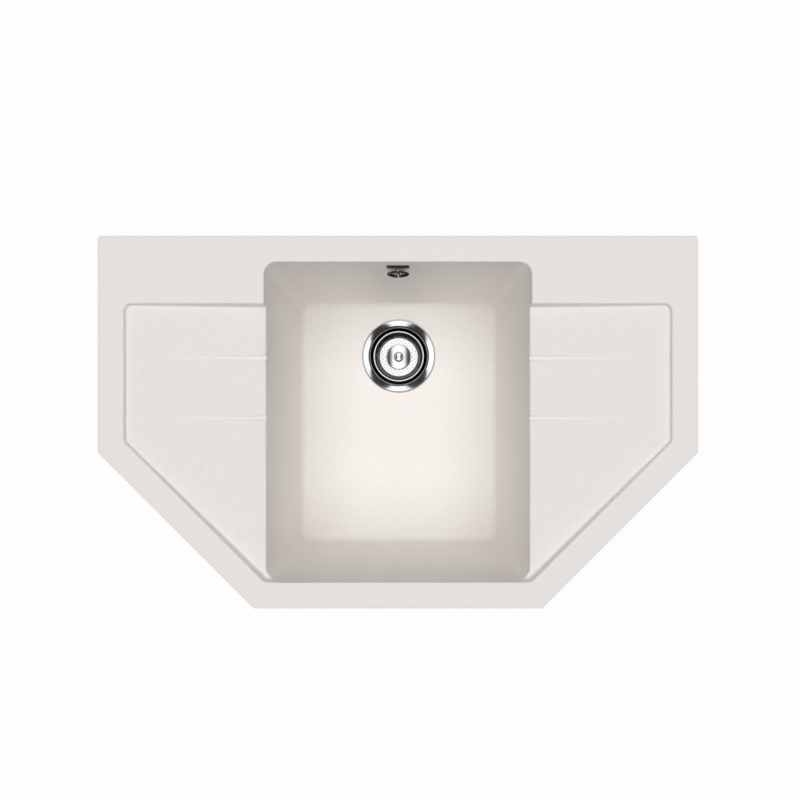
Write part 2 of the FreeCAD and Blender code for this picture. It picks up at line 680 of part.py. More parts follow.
def sink_body():
    """The moulding: deck, drainers, bowl, and the bosses and pads under the deck."""
    body = new_body("moulding")
    deck = sketch(body, "deck_outline", "XY_Plane", [outline(dim(0))])
    feature(body, "Pad", "deck", deck, size.deck_thick)
    round_edges(body, "deck_corners", size.rear_corner_radius,
                lambda e: upright(e) and e.BoundBox.YMin > 0)
    top = deck_top.value
    round_edges(body, "deck_edge", size.deck_edge_radius, lambda e: e.BoundBox.ZMin > top - TOUCH)

    outside = rectangle(bowl_half_width + size.bowl_wall, bowl_half_length + size.bowl_wall)
    shell = sketch(body, "shell_outline", "XY_Plane", [outside], level=deck_top)
    feature(body, "Pad", "shell", shell, size.bowl_depth + size.bowl_wall, up=False,
            taper=-size.bowl_draft)
    round_edges(body, "shell_corners", size.bowl_corner_radius + size.bowl_wall,
                lambda e: upright(e) and e.BoundBox.ZMin < -SPARE)
    under_shell = under_floor.value + SLIGHT
    round_edges(body, "shell_foot", size.bowl_under_radius, lambda e: e.BoundBox.ZMax < under_shell)

    block = outline(size.rim_width - size.drop_margin, half_length - size.ledge_width + size.drop_margin)
    under = sketch(body, "drop_outline", "XY_Plane", [block])
    feature(body, "Pad", "drop", under, size.drop_depth, up=False)

    pads = []
    for (x, y), (u, v), _ in CLIPS:
        half = size.bearing_width / 2
        corners = ((size.bearing_front, half), (-size.bearing_reach, half),
                   (-size.bearing_reach, -half), (size.bearing_front, -half))
        pads.append([(x + a * u - b * v, y + a * v + b * u) for a, b in corners])
    feature(body, "Pad", "bearings", sketch(body, "bearing_plan", "XY_Plane", pads),
            size.drop_depth, up=False)

    def clip_circles(name, radius, level=0):
        circles = [(*spot, radius) for spot, _, _ in CLIPS]
        return sketch(body, name, "XY_Plane", circles=circles, level=level)

    feature(body, "Pad", "bosses", clip_circles("boss_plan", size.boss_radius), size.boss_depth, up=False)
    inserts = clip_circles("insert_plan", size.insert_radius, -size.boss_depth)
    feature(body, "Pocket", "insert_holes", inserts, size.insert_length)
    tips = clip_circles("tip_plan", size.clip_screw_radius + size.tip_gap, -size.boss_depth)
    feature(body, "Pocket", "tip_holes", tips, size.insert_length + size.insert_relief)

    taps = [(side * size.tap_side, half_length - size.tap_rear, size.tap_radius) for side in (1, -1)]
    feature(body, "Pocket", "tap_holes", sketch(body, "tap_plan", "XY_Plane", circles=taps),
            deck_top - size.tap_skin)
    groove = [outline(size.seal_inset), outline(size.seal_inset + size.seal_width)]
    feature(body, "Pocket", "seal_groove", sketch(body, "seal_plan", "XY_Plane", groove), size.seal_thick)

    take_away(body, "drainer_fields", recess_core())
    round_edges(body, "step_top", size.recess_top_radius,
                lambda e: e.BoundBox.ZMin > top - TOUCH and inside_rim(e))
    take_away(body, "bowl", bowl_core())
    doc.recompute()
    lips = bowl_lips(body.Tip.Shape)

    def drain_circle(name, radius, level):
        return sketch(body, name, "XY_Plane", circles=[(0, size.drain_rear, radius)], level=level)

    seat_level = ring_level - seat_depth
    seat = drain_circle("seat_plan", size.flange_radius + size.seat_gap, seat_level)
    feature(body, "Pocket", "drain_seat", seat, size.bowl_wall)
    hole = drain_circle("hole_plan", size.floor_hole_radius, seat_level)
    feature(body, "Pocket", "drain_hole", hole, size.bowl_wall, up=False)
    round_edges(body, "drain_hole_edge", size.floor_hole_round,
                circle_edge(size.floor_hole_radius, seat_level))
    overflow = cylinder("overflow_hole", size.overflow_hole_radius, size.bowl_wall + SPARE,
                        on_wall(size.overflow_depth, -SPARE / 2), *THROUGH_WALL)
    grooves = [groove_core("right_grooves", 1), groove_core("left_grooves", -1)]
    return cut("sink_body", body, fuse("last_cuts", *lips, *grooves, overflow))


# ---------------------------------------------------------------- fixing clips and rim seal

def rim_seal():
    """The flat strip in the groove under the rim, against the worktop."""
    body = new_body("rim_seal")
    strip = [outline(size.seal_inset), outline(size.seal_inset + size.seal_width)]
    feature(body, "Pad", "seal_strip", sketch(body, "strip_plan", "XY_Plane", strip), size.seal_thick)
    return body


def copies(name, form):
    """A piece made once, and one copy of it at each clip."""
    made = []
    for number, ((x, y), _, angle) in enumerate(CLIPS, 1):
        copy = doc.addObject("Part::Compound", f"{name}_{number}")
        copy.Links = [form]
        made.append(place(copy, (x, y, 0), (0, 0, 1), angle))
    return made


def clip_inserts():
    """The threaded brass sleeves in the bosses."""
    sleeve = ring("sleeve", size.insert_radius, size.clip_screw_radius + size.clip_screw_gap,
                  size.insert_length, (0, 0, -size.boss_depth))
    return fuse("clip_inserts", *copies("sleeve", sleeve))


strip_top = -size.worktop_least - size.jaw_step
strip_foot = strip_top - size.bracket_sheet


def clip_screws():
    """The screws that pull the brackets up, driven from below."""
    body = turned("clip_screw_form", [
        (0, -size.clip_tip_depth), (size.clip_screw_radius, -size.clip_tip_depth),
        (size.clip_screw_radius, strip_foot), (size.clip_head_radius, strip_foot),
        (size.clip_head_radius, strip_foot - size.clip_head_height), (0, strip_foot - size.clip_head_height)])
    corner = size.clip_socket / math.sqrt(3)
    turns = [turn * math.pi / 3 for turn in range(6)]
    hexagon = [(corner * math.cos(turn), corner * math.sin(turn)) for turn in turns]
    socket = sketch(body, "clip_socket_plan", "XY_Plane", [hexagon],
                    level=strip_foot - size.clip_head_height)
    feature(body, "Pocket", "clip_socket_cut", socket, size.clip_head_height / 2)
    return copies("clip_screw", body)


def clip_brackets():
    """The steel strips: a jaw under the worktop, and a heel that bears on a pad of the sink."""
    body = new_body("clip_bracket_form")
    sheet = size.bracket_sheet
    jaw_top = -size.worktop_least
    heel_top = -size.drop_depth - size.heel_gap
    inner_leg = size.jaw_leg - sheet
    inner_heel = sheet - size.heel_reach
    side = [(-size.heel_reach, strip_foot), (size.jaw_leg, strip_foot), (size.jaw_leg, jaw_top - sheet),
            (size.jaw_reach, jaw_top - sheet), (size.jaw_reach, jaw_top), (inner_leg, jaw_top),
            (inner_leg, strip_top), (inner_heel, strip_top), (inner_heel, heel_top),
            (-size.heel_reach, heel_top)]
    strip = feature(body, "Pad", "bracket_strip", sketch(body, "bracket_side", "XZ_Plane", [side]),
                    size.bracket_width)
    strip.Midplane = True

    def across(*corners):
        wanted = [(dim(u).value, level.value) for u, level in corners]

        def chosen(edge):
            bounds = edge.BoundBox
            near = any(abs(bounds.XMin - u) < 10 * TOUCH and abs(bounds.ZMin - level) < 10 * TOUCH
                       for u, level in wanted)
            return near and bounds.YLength > size.bracket_width.value - SLIGHT
        return chosen

    round_edges(body, "inner_bends", size.bracket_bend,
                across((inner_leg, strip_top), (inner_heel, strip_top), (size.jaw_leg, jaw_top - sheet)))
    round_edges(body, "outer_bends", size.bracket_bend + sheet,
                across((-size.heel_reach, strip_foot), (size.jaw_leg, strip_foot), (inner_leg, jaw_top)))
    hole = sketch(body, "bracket_hole_plan", "XY_Plane", level=strip_foot,
                  circles=[(0, 0, size.clip_screw_radius + size.clip_screw_gap)])
    feature(body, "Pocket", "bracket_hole", hole, sheet)
    return copies("clip_bracket", body)


# ---------------------------------------------------------------- strainer waste, from the ring down

cup_floor = -size.cup_depth
well_floor = cup_floor - size.well_depth
hub_top = well_floor - size.cup_sheet - size.hub_gap
bolt_end = well_floor - size.bolt_length
bolt_way = size.bolt_radius + size.bolt_gap
branch_level = -size.branch_depth


def strainer_flange():
    """The ring in the floor and the cup below it, one pressing."""
    sheet = size.cup_sheet
    body = turned("strainer_flange", [
        (size.flange_radius, 0), (size.throat_radius, -size.flange_dish), (size.cup_radius, cup_floor),
        (size.well_radius, cup_floor), (size.well_radius, well_floor), (bolt_way, well_floor),
        (bolt_way, well_floor - sheet), (size.well_radius + sheet, well_floor - sheet),
        (size.well_radius + sheet, cup_floor - sheet), (size.cup_radius + sheet, cup_floor - sheet),
        (size.throat_radius + sheet, -size.flange_lip), (size.flange_radius, -size.flange_lip)])
    round_edges(body, "throat_under", size.throat_bend - sheet,
                circle_edge(size.throat_radius + sheet, -size.flange_lip))
    round_edges(body, "throat", size.throat_bend, circle_edge(size.throat_radius, -size.flange_dish))
    round_edges(body, "cup_foot", size.cup_foot_radius, circle_edge(size.cup_radius, cup_floor))
    round_edges(body, "cup_foot_under", size.cup_foot_radius + sheet,
                circle_edge(size.cup_radius + sheet, cup_floor - sheet))
    round_edges(body, "ring_edge", size.flange_lip / 2, circle_edge(size.flange_radius, 0))
    plan = sketch(body, "outlet_plan", "XY_Plane", circles=[(size.slot_circle, 0, size.slot_radius)],
                  level=cup_floor - sheet)
    polar(body, "outlets", feature(body, "Pocket", "outlet", plan, 2 * sheet), size.slot_count)
    return place(body, drain)


def flange_gasket():
    """The rubber ring under the flange, in the floor's seat."""
    inner = size.floor_hole_radius + size.floor_hole_round + size.gasket_gap
    return ring("flange_gasket", size.flange_radius - size.gasket_gap, inner, size.gasket_thick,
                (0, size.drain_rear, ring_level - seat_depth))


def waste_gasket():
    """The rubber ring between the floor's underside and the waste body."""
    return ring("waste_gasket", size.waste_rim_radius, size.waste_inner_radius, size.waste_gasket_thick,
                (0, size.drain_rear, under_floor - size.waste_gasket_thick))


def waste_body():
    """The plastic body under the floor: rim, funnel, outlet, branch, and a hub on three ribs."""
    rim_top = under_floor - ring_level - size.waste_gasket_thick
    rim_foot = rim_top - size.waste_rim_thick
    wall = size.waste_inner_radius + size.waste_wall
    straight = -size.waste_straight
    foot = straight - size.funnel_height
    end = foot - size.outlet_length
    drop = size.waste_wall / 2
    outside = turned("waste_outside", [
        (0, rim_top), (size.waste_rim_radius, rim_top), (size.waste_rim_radius, rim_foot), (wall, rim_foot),
        (wall, straight - drop), (size.outlet_radius, foot - drop), (size.outlet_radius, end), (0, end)])
    space = turned("waste_space", [
        (0, rim_top + SPARE), (size.waste_inner_radius, rim_top + SPARE), (size.waste_inner_radius, straight),
        (size.outlet_bore_radius, foot), (size.outlet_bore_radius, end - SPARE), (0, end - SPARE)])

    spider = new_body("waste_spider")
    hub_foot = hub_top - size.hub_length
    hub = sketch(spider, "hub_plan", "XY_Plane", circles=[(0, 0, size.hub_radius)], level=hub_foot)
    feature(spider, "Pad", "hub", hub, size.hub_length)
    half = size.rib_thick / 2
    web = [(half, 0), (-half, 0), (-half, -wall), (half, -wall)]
    rib = feature(spider, "Pad", "rib", sketch(spider, "rib_plan", "XY_Plane", [web], level=hub_foot),
                  size.hub_length)
    polar(spider, "ribs", rib, size.rib_count)

    to_rear = ((-1, 0, 0), 90)
    root = size.waste_inner_radius * DIAGONAL
    branch = cylinder("waste_branch", size.spigot_radius, size.branch_reach - root,
                      (0, root, branch_level), *to_rear)
    branch_bore = cylinder("waste_branch_bore", size.spigot_bore_radius, size.branch_reach,
                           (0, root, branch_level), *to_rear)
    nut_foot = hub_top - size.nut_cover - size.nut_length
    nut_hole = cylinder("waste_nut_hole", size.nut_radius, size.nut_length, (0, 0, nut_foot))
    way = cylinder("waste_bolt_way", bolt_way, hub_top - bolt_end + size.nut_cover + SLIGHT,
                   (0, 0, bolt_end - size.nut_cover))
    passage = cut("waste_passage", space, spider)
    body = cut("waste_body", fuse("waste_solid", outside, branch),
               fuse("waste_hollow", passage, branch_bore, nut_hole, way))
    return place(body, drain)


def bolt_insert():
    """The brass nut in the hub."""
    foot = ring_level + hub_top - size.nut_cover - size.nut_length
    return ring("bolt_insert", size.nut_radius, size.bolt_radius + size.thread_gap, size.nut_length,
                (0, size.drain_rear, foot))


def centre_bolt():
    """The hollow bolt that holds cup and waste body together and takes the stem's end."""
    socket = size.stem_radius + size.socket_gap
    head_top = well_floor + size.bolt_head_height
    socket_end = -size.stem_reach - size.socket_spare
    body = turned("centre_bolt", [
        (socket, head_top), (size.bolt_head_radius, head_top), (size.bolt_head_radius, well_floor),
        (size.bolt_radius, well_floor), (size.bolt_radius, bolt_end), (0, bolt_end), (0, socket_end),
        (socket, socket_end)])
    return place(body, drain)


# ---------------------------------------------------------------- basket and its stem

basket_floor = -size.basket_floor_depth
basket_middle = basket_floor + size.dish_height
knob_foot = basket_middle + size.basket_play
stem_top = knob_foot + size.knob_bore
plate_top = cup_floor + size.stopper_thick + size.plate_thick


def basket():
    """The perforated basket with its rolled rim, free to turn on the stem."""
    sheet = size.basket_sheet
    half = sheet / 2
    hole = size.stem_radius + size.stem_gap
    step = size.dish_radius - size.dish_height
    under = -sheet * BEVEL
    body = turned("basket_sheet_metal", [
        (hole, basket_middle), (step, basket_middle), (size.dish_radius, basket_floor),
        (size.basket_floor_radius, basket_floor), (size.basket_rim_radius - half, -size.basket_rim_depth),
        (size.basket_rim_radius + half, -size.basket_rim_depth),
        (size.basket_floor_radius + half, basket_floor - sheet),
        (size.dish_radius + under, basket_floor - sheet), (step + under, basket_middle - sheet),
        (hole, basket_middle - sheet)])
    foot = size.basket_foot_radius
    round_edges(body, "wall_foot", foot, circle_edge(size.basket_floor_radius, basket_floor))
    round_edges(body, "wall_foot_under", foot + sheet,
                circle_edge(size.basket_floor_radius + half, basket_floor - sheet))
    round_edges(body, "dish_under", foot - sheet, circle_edge(step + under, basket_middle - sheet))
    round_edges(body, "dish_top", foot, circle_edge(step, basket_middle))
    round_edges(body, "dish_foot", foot - sheet, circle_edge(size.dish_radius, basket_floor))
    round_edges(body, "dish_foot_under", foot, circle_edge(size.dish_radius + under, basket_floor - sheet))
    rings = (size.hole_ring_one, size.hole_ring_two, size.hole_ring_three, size.hole_ring_four)
    for number, radius in enumerate(rings):
        turn = number % 2 * math.pi / size.hole_count.value
        plan = sketch(body, f"hole_plan_{number}", "XY_Plane", level=basket_floor - 2 * sheet,
                      circles=[(radius * math.cos(turn), radius * math.sin(turn), size.hole_radius)])
        first = feature(body, "Pocket", f"hole_{number}", plan, 4 * sheet)
        polar(body, f"holes_{number}", first, size.hole_count)
    rim = doc.addObject("Part::Torus", "basket_rim")
    bind(rim, "Radius1", size.basket_rim_radius)
    bind(rim, "Radius2", size.basket_rim_wire)
    place(rim, (0, 0, -size.basket_rim_depth))
    return place(fuse("basket", body, rim), drain)


def basket_knob():
    """The knob that lifts basket and stopper."""
    flare = knob_foot + size.knob_waist_height
    top = basket_middle + size.knob_height
    body = turned("basket_knob", [
        (size.stem_radius, knob_foot), (size.knob_waist_radius, knob_foot), (size.knob_waist_radius, flare),
        (size.knob_radius, flare + size.knob_flare), (size.knob_radius, top), (0, top), (0, stem_top),
        (size.stem_radius, stem_top)])
    round_edges(body, "knob_top", size.knob_round, circle_edge(size.knob_radius, top))
    return place(body, drain)


def basket_stem():
    """The stem: a neck for the basket, a shoulder on the stopper's plate, and an end in the bolt."""
    neck_foot = basket_middle - size.basket_sheet - size.basket_play
    body = turned("basket_stem", [
        (0, stem_top), (size.stem_radius, stem_top), (size.stem_radius, neck_foot),
        (size.stem_shoulder_radius, neck_foot), (size.stem_shoulder_radius, plate_top),
        (size.stem_radius, plate_top), (size.stem_radius, -size.stem_reach), (0, -size.stem_reach)])
    return place(body, drain)


def stopper():
    """The plate on the stem, the rubber seal under it and the circlip that holds the plate."""
    plate_foot = ring_level + plate_top - size.plate_thick
    plate = ring("stopper_plate", size.plate_radius, size.stem_radius, size.plate_thick,
                 (0, size.drain_rear, plate_foot))
    seal = ring("stopper_seal", size.seal_radius, size.seal_bore_radius, size.stopper_thick,
                (0, size.drain_rear, plate_foot - size.stopper_thick))
    clip = ring("stem_clip", size.clip_ring_radius, size.stem_radius, size.clip_ring_thick,
                (0, size.drain_rear, plate_foot - size.clip_ring_thick))
    return [plate, seal, clip]


# ---------------------------------------------------------------- overflow, in the rear wall

elbow_front = wall_thick + size.overflow_gasket_thick
boss_front = elbow_front + size.boss_gap
spigot_rear = half_length - size.spigot_behind
spigot_end = deck_top - size.overflow_depth - size.spigot_drop - size.spigot_length


def on_overflow(thing, out=0):
    """Put a piece made upright at the origin on the overflow's axis."""
    return place(thing, on_wall(size.overflow_depth, out), *THROUGH_WALL)


def overflow_rosette():
    """The chromed ring with four openings and a collar in the wall's hole."""
    collar = size.overflow_hole_radius - size.rosette_fit
    body = turned("rosette_ring", [
        (size.rosette_bore_radius, -size.rosette_thick), (size.rosette_radius, -size.rosette_thick),
        (size.rosette_radius, 0), (collar, 0), (collar, size.rosette_collar),
        (size.rosette_bore_radius, size.rosette_collar)])
    round_edges(body, "rosette_rounding", size.rosette_edge,
                circle_edge(size.rosette_radius, -size.rosette_thick))
    front = -size.rosette_bar_thick
    reach = (size.rosette_bore_radius + collar) / 2
    half = size.rosette_bar / 2
    level_bar = box("rosette_level_bar", 2 * reach, size.rosette_bar, size.rosette_bar_thick,
                    (-reach, -half, front))
    steep_bar = box("rosette_steep_bar", size.rosette_bar, 2 * reach, size.rosette_bar_thick,
                    (-half, -reach, front))
    hub = cylinder("rosette_hub", size.rosette_hub_radius, size.rosette_bar_thick, (0, 0, front))
    hole = cylinder("rosette_screw_hole", size.screw_radius + size.rosette_fit, size.rosette_bar_thick,
                    (0, 0, front))
    return on_overflow(cut("overflow_rosette", fuse("rosette_solid", body, level_bar, steep_bar, hub), hole))


def overflow_screw():
    """The slotted screw that pulls the rosette and the elbow together."""
    under_head = -size.rosette_bar_thick
    front = under_head - size.screw_head_height
    end = boss_front + size.elbow_nut_length
    body = turned("overflow_screw", [
        (0, front), (size.screw_head_radius, front), (size.screw_head_radius, under_head),
        (size.screw_radius, under_head), (size.screw_radius, end), (0, end)])
    round_edges(body, "screw_head_edge", size.screw_head_height / 4,
                circle_edge(size.screw_head_radius, front))
    along = (cos(size.screw_slot_turn), sin(size.screw_slot_turn))
    long, wide = 2 * size.screw_head_radius, size.screw_slot / 2
    corners = ((1, 1), (-1, 1), (-1, -1), (1, -1))
    slot = [(a * long * along[0] - b * wide * along[1], a * long * along[1] + b * wide * along[0])
            for a, b in corners]
    plan = sketch(body, "screw_slot_plan", "XY_Plane", [slot], level=front)
    feature(body, "Pocket", "screw_slot", plan, size.screw_head_height / 2)
    return on_overflow(body)


def overflow_gasket():
    """The rubber ring between the wall's rear and the elbow."""
    thing = ring("overflow_gasket", size.chamber_radius, size.overflow_hole_radius + size.gasket_gap / 2,
                 size.overflow_gasket_thick)
    return on_overflow(thing, wall_thick)


def overflow_elbow():
    """The plastic chamber behind the wall, with a boss for the screw and a spigot down to the hose."""
    wall = size.chamber_wall
    rear = elbow_front + size.chamber_thick

    def disc(name, radius, start, end):
        return on_overflow(cylinder(name, radius, end - start), start)

    spigot = cylinder("elbow_spigot", size.spigot_radius, size.spigot_length, (0, spigot_rear, spigot_end))
    solid = fuse("elbow_solid", disc("elbow_chamber", size.chamber_radius, elbow_front, rear), spigot)
    chamber = disc("elbow_space", size.chamber_radius - wall, elbow_front + wall, rear - wall)
    mouth = disc("elbow_mouth", size.chamber_mouth_radius, elbow_front - SLIGHT, elbow_front + wall + SLIGHT)
    bore = cylinder("elbow_bore", size.spigot_bore_radius, size.spigot_length,
                    (0, spigot_rear, spigot_end - wall))
    boss = disc("elbow_boss", size.elbow_boss_radius, boss_front, rear)
    hollow = cut("elbow_hollow", fuse("elbow_spaces", chamber, mouth, bore), boss)
    nut_end = boss_front + size.elbow_nut_length
    nut_hole = disc("elbow_nut_hole", size.elbow_nut_radius, boss_front - SLIGHT, nut_end)
    way = disc("elbow_screw_way", size.screw_radius + size.rosette_fit, boss_front, nut_end + SLIGHT)
    return cut("overflow_elbow", solid, fuse("elbow_cuts", hollow, nut_hole, way))


def elbow_insert():
    """The brass nut in the elbow's boss."""
    thing = ring("elbow_insert", size.elbow_nut_radius, size.screw_radius + size.thread_gap,
                 size.elbow_nut_length)
    return on_overflow(thing, boss_front)


def name_plate():
    """The small metal plate over the overflow, left bare."""
    body = new_body("name_plate")
    plan = sketch(body, "plate_plan", "XY_Plane", [rectangle(size.plate_width / 2, size.plate_height / 2)])
    feature(body, "Pad", "plate", plan, size.plate_sheet)
    round_edges(body, "plate_corners", size.plate_corner_radius, upright)
    return place(body, on_wall(size.plate_depth, -size.plate_sheet), *THROUGH_WALL)


# ---------------------------------------------------------------- overflow hose

hose_way = size.hose_radius + size.hose_nut_gap
hose_top = (0, spigot_rear, spigot_end)
hose_foot = (0, size.drain_rear + size.branch_reach, ring_level + branch_level)


def union_nut(name, *where):
    """A union nut with grips, over a spigot's end and round the hose's cuff."""
    cover = size.hose_nut_cover
    foot = cover - size.hose_nut_length
    shoulder = -size.washer_thick
    wide = size.spigot_radius + size.hose_nut_gap
    body = turned(name, [
        (wide, cover), (size.hose_nut_radius, cover), (size.hose_nut_radius, foot),
        (hose_way, foot), (hose_way, shoulder), (wide, shoulder)])
    half = size.grip_width / 2
    inner, outer = size.hose_nut_radius - size.grip_height, size.hose_nut_radius + size.grip_height
    plan = sketch(body, f"{name}_grip_plan", "XY_Plane", level=foot,
                  loops=[[(inner, half), (inner, -half), (outer, -half), (outer, half)]])
    grip = feature(body, "Pad", f"{name}_grip", plan, size.hose_nut_length)
    polar(body, f"{name}_grips", grip, size.grip_count)
    return place(body, *where)


def hose_washer(name, *where):
    """The rubber ring that a union nut presses against the spigot."""
    body = turned(name, [(hose_way, 0), (size.spigot_radius, 0), (size.spigot_radius, -size.washer_thick),
                         (hose_way, -size.washer_thick)])
    return place(body, *where)


def hose_route():
    """The hose's runs and bend, and the spot and direction at any length along it."""
    start = Vector(*[dim(value).value for value in hose_top])
    end = Vector(*[dim(value).value for value in hose_foot])
    bend = size.hose_bend_radius.value
    fall = start.z - end.z - bend
    quarter = bend * math.pi / 2
    middle = Vector(0, start.y - bend, end.z + bend)
    run = middle.y - end.y

    def at(length):
        if length <= fall:
            return start - Vector(0, 0, length), Vector(0, 0, -1)
        if length <= fall + quarter:
            turn = (length - fall) / bend
            out = Vector(0, math.cos(turn), -math.sin(turn))
            return middle + out * bend, Vector(0, -math.sin(turn), -math.cos(turn))
        return Vector(0, middle.y - (length - fall - quarter), end.z), Vector(0, -1, 0)

    line = Part.Wire([
        Part.makeLine(start, at(fall)[0]),
        Part.Arc(at(fall)[0], at(fall + quarter / 2)[0], at(fall + quarter)[0]).toShape(),
        Part.makeLine(at(fall + quarter)[0], end)])
    return at, fall + quarter + run, line


def overflow_hose():
    """The ribbed hose with its bore: smooth cuffs, and four sections to each rib."""
    at, length, line = hose_route()
    crest, valley = size.hose_radius.value, size.hose_valley_radius.value
    cuff = size.hose_cuff.value
    count = round((length - 2 * cuff) / size.rib_pitch.value)
    pitch = (length - 2 * cuff) / count
    slope = pitch * RIB_SLOPE
    stations = [(0, crest), (cuff - slope, crest)]
    for rib in range(count + 1):
        start = cuff + rib * pitch
        stations += [(start, valley), (start + slope, valley), (start + 2 * slope, crest),
                     (start + pitch - slope, crest)]
    stations[-1] = (length, crest)

    def section(distance, radius):
        spot, direction = at(distance)
        circle = Part.Circle(spot, direction, radius)
        circle.XAxis = Vector(1, 0, 0)
        return Part.Wire(circle.toShape())

    solid = Part.makeLoft([section(*station) for station in stations], True, True)
    bore = line.makePipeShell([section(0, size.hose_bore_radius.value)], True, True)
    hose = doc.addObject("Part::Feature", "overflow_hose")
    hose.Shape = solid.cut(bore)
    print(f"hose: length {length:.1f}, {count} ribs, crest {crest}, valley {valley}, "
          f"bore {size.hose_bore_radius.value}, bend {size.hose_bend_radius.value}")
    return hose


# ---------------------------------------------------------------- the document

NUT_TOP = (hose_top,)
NUT_FOOT = (hose_foot, (1, 0, 0), 90)
nodes = [
    sink_body(), rim_seal(), clip_inserts(), *clip_screws(), *clip_brackets(),
    strainer_flange(), flange_gasket(), waste_gasket(), waste_body(), bolt_insert(), centre_bolt(),
    basket(), basket_knob(), basket_stem(), *stopper(),
    overflow_rosette(), overflow_screw(), overflow_gasket(), overflow_elbow(), elbow_insert(), name_plate(),
    overflow_hose(), union_nut("hose_nut_top", *NUT_TOP), union_nut("hose_nut_bottom", *NUT_FOOT),
    hose_washer("hose_washer_top", *NUT_TOP), hose_washer("hose_washer_bottom", *NUT_FOOT)]
doc.recompute()

faults = [f"{thing.Label}: {thing.State}" for thing in doc.Objects
          if "Invalid" in thing.State or "Error" in thing.State]
os.makedirs("parts", exist_ok=True)
for node in nodes:
    if node.Shape.isNull() or not node.Shape.isValid() or not node.Shape.Solids:
        faults.append(f"{node.Label} is no valid solid")
        continue
    node.Shape.exportStep(f"parts/{node.Label}.step")
    print(f"{node.Label}: {len(node.Shape.Solids)} solid, {node.Shape.Volume:.0f} mm3")
if faults:
    raise ValueError("; ".join(faults))
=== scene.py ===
# %% [markdown]
# # A kitchen sink with two drainers
# The object is a moulded sink of white stone composite: a flat rim with slanted front corners, a
# shallow drainer on each side of a deep bowl, a chromed basket strainer in the floor, an overflow in
# the rear wall with a hose down to the waste, and fixing clips under the rim. The solids come from
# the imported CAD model. This lesson dresses them: it keeps their sizes and places, and gives them
# smooth shading, finer turned and threaded forms, and materials made of nodes.

import json
import math

import bmesh
import bpy
from mathutils import Matrix, Vector

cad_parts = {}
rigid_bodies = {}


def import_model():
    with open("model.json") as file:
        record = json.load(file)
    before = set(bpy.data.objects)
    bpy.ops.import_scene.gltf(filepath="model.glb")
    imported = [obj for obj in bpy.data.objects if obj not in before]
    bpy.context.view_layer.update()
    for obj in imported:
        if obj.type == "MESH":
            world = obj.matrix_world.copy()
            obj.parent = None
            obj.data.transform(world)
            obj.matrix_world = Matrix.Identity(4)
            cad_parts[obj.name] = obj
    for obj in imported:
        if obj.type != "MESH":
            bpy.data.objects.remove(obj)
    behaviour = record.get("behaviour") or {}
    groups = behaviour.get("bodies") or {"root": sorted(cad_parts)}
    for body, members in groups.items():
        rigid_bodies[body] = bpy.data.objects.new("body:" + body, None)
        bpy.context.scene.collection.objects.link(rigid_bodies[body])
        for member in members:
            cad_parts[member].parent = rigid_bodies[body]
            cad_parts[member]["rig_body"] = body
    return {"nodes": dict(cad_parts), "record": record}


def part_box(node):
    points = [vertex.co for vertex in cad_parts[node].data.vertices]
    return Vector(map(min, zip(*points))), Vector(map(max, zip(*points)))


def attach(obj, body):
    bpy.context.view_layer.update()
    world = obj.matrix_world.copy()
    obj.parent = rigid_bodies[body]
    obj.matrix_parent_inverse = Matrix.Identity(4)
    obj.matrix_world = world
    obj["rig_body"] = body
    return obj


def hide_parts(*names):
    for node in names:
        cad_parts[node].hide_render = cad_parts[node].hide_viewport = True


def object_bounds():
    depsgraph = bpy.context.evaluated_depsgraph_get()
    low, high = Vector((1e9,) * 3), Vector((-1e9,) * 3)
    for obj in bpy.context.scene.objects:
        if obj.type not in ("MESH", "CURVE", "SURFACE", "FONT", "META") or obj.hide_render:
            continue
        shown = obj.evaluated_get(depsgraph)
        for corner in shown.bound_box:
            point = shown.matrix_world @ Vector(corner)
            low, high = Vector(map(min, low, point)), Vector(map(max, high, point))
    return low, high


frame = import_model()
cad_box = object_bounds()
scene = bpy.context.scene
MM = 0.001

# %% [markdown]
# ## Places that the pieces share
# Every place is read from the frame, so a piece that is made here sits where the CAD says. The
# strainer is turned about a vertical axis through its ring, and heights in it count from the top of
# that ring. The clips' screws give eight more axes.

# %% Places from the frame
deck_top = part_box("sink_body")[1].z
ring_low, ring_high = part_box("strainer_flange")
DRAIN = Vector(((ring_low.x + ring_high.x) / 2, (ring_low.y + ring_high.y) / 2, ring_high.z))
clip_names = sorted(name for name in frame["nodes"] if name.startswith("clip_screw_"))


def body_of(node):
    """The CAD body that a node rides on."""
    return frame["nodes"][node]["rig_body"]


print("deck top", round(deck_top, 4), "drain", tuple(round(v, 4) for v in DRAIN))

# %% [markdown]
# ## Tools for materials
# A colour is written as the sRGB hex value that the eye sees, and one function turns it to the
# linear values that the shader works in. One function adds a node with its settings and links.

# %% Colours and nodes
def linear(hex_colour):
    """An sRGB hex colour as linear red, green, blue and alpha."""
    parts = [int(hex_colour[i:i + 2], 16) / 255 for i in (1, 3, 5)]
    return tuple(c / 12.92 if c <= 0.04045 else ((c + 0.055) / 1.055) ** 2.4 for c in parts) + (1,)


def add_node(tree, kind, settings=None, **inputs):
    """Adds a node with its settings and its inputs, which are values, sockets or other nodes.

    An input goes by its name, or as i0, i1 where several share one. A node gives its first output.
    """
    new = tree.nodes.new(kind)
    for name, value in (settings or {}).items():
        setattr(new, name, value)
    for name, value in inputs.items():
        if name[1:].isdigit():
            socket = new.inputs[int(name[1:])]
        else:
            socket = next(s for s in new.inputs if s.enabled and s.name == name.replace("_", " "))
        if isinstance(value, bpy.types.Node):
            value = next(s for s in value.outputs if s.enabled)
        if isinstance(value, bpy.types.NodeSocket):
            tree.links.new(value, socket)
        else:
            socket.default_value = value
    return new


def new_material(name):
    """A material whose tree is still empty."""
    made = bpy.data.materials.new(name)
    made.use_nodes = True
    made.node_tree.nodes.clear()
    return made


print("white is", linear("#FFFFFF"))

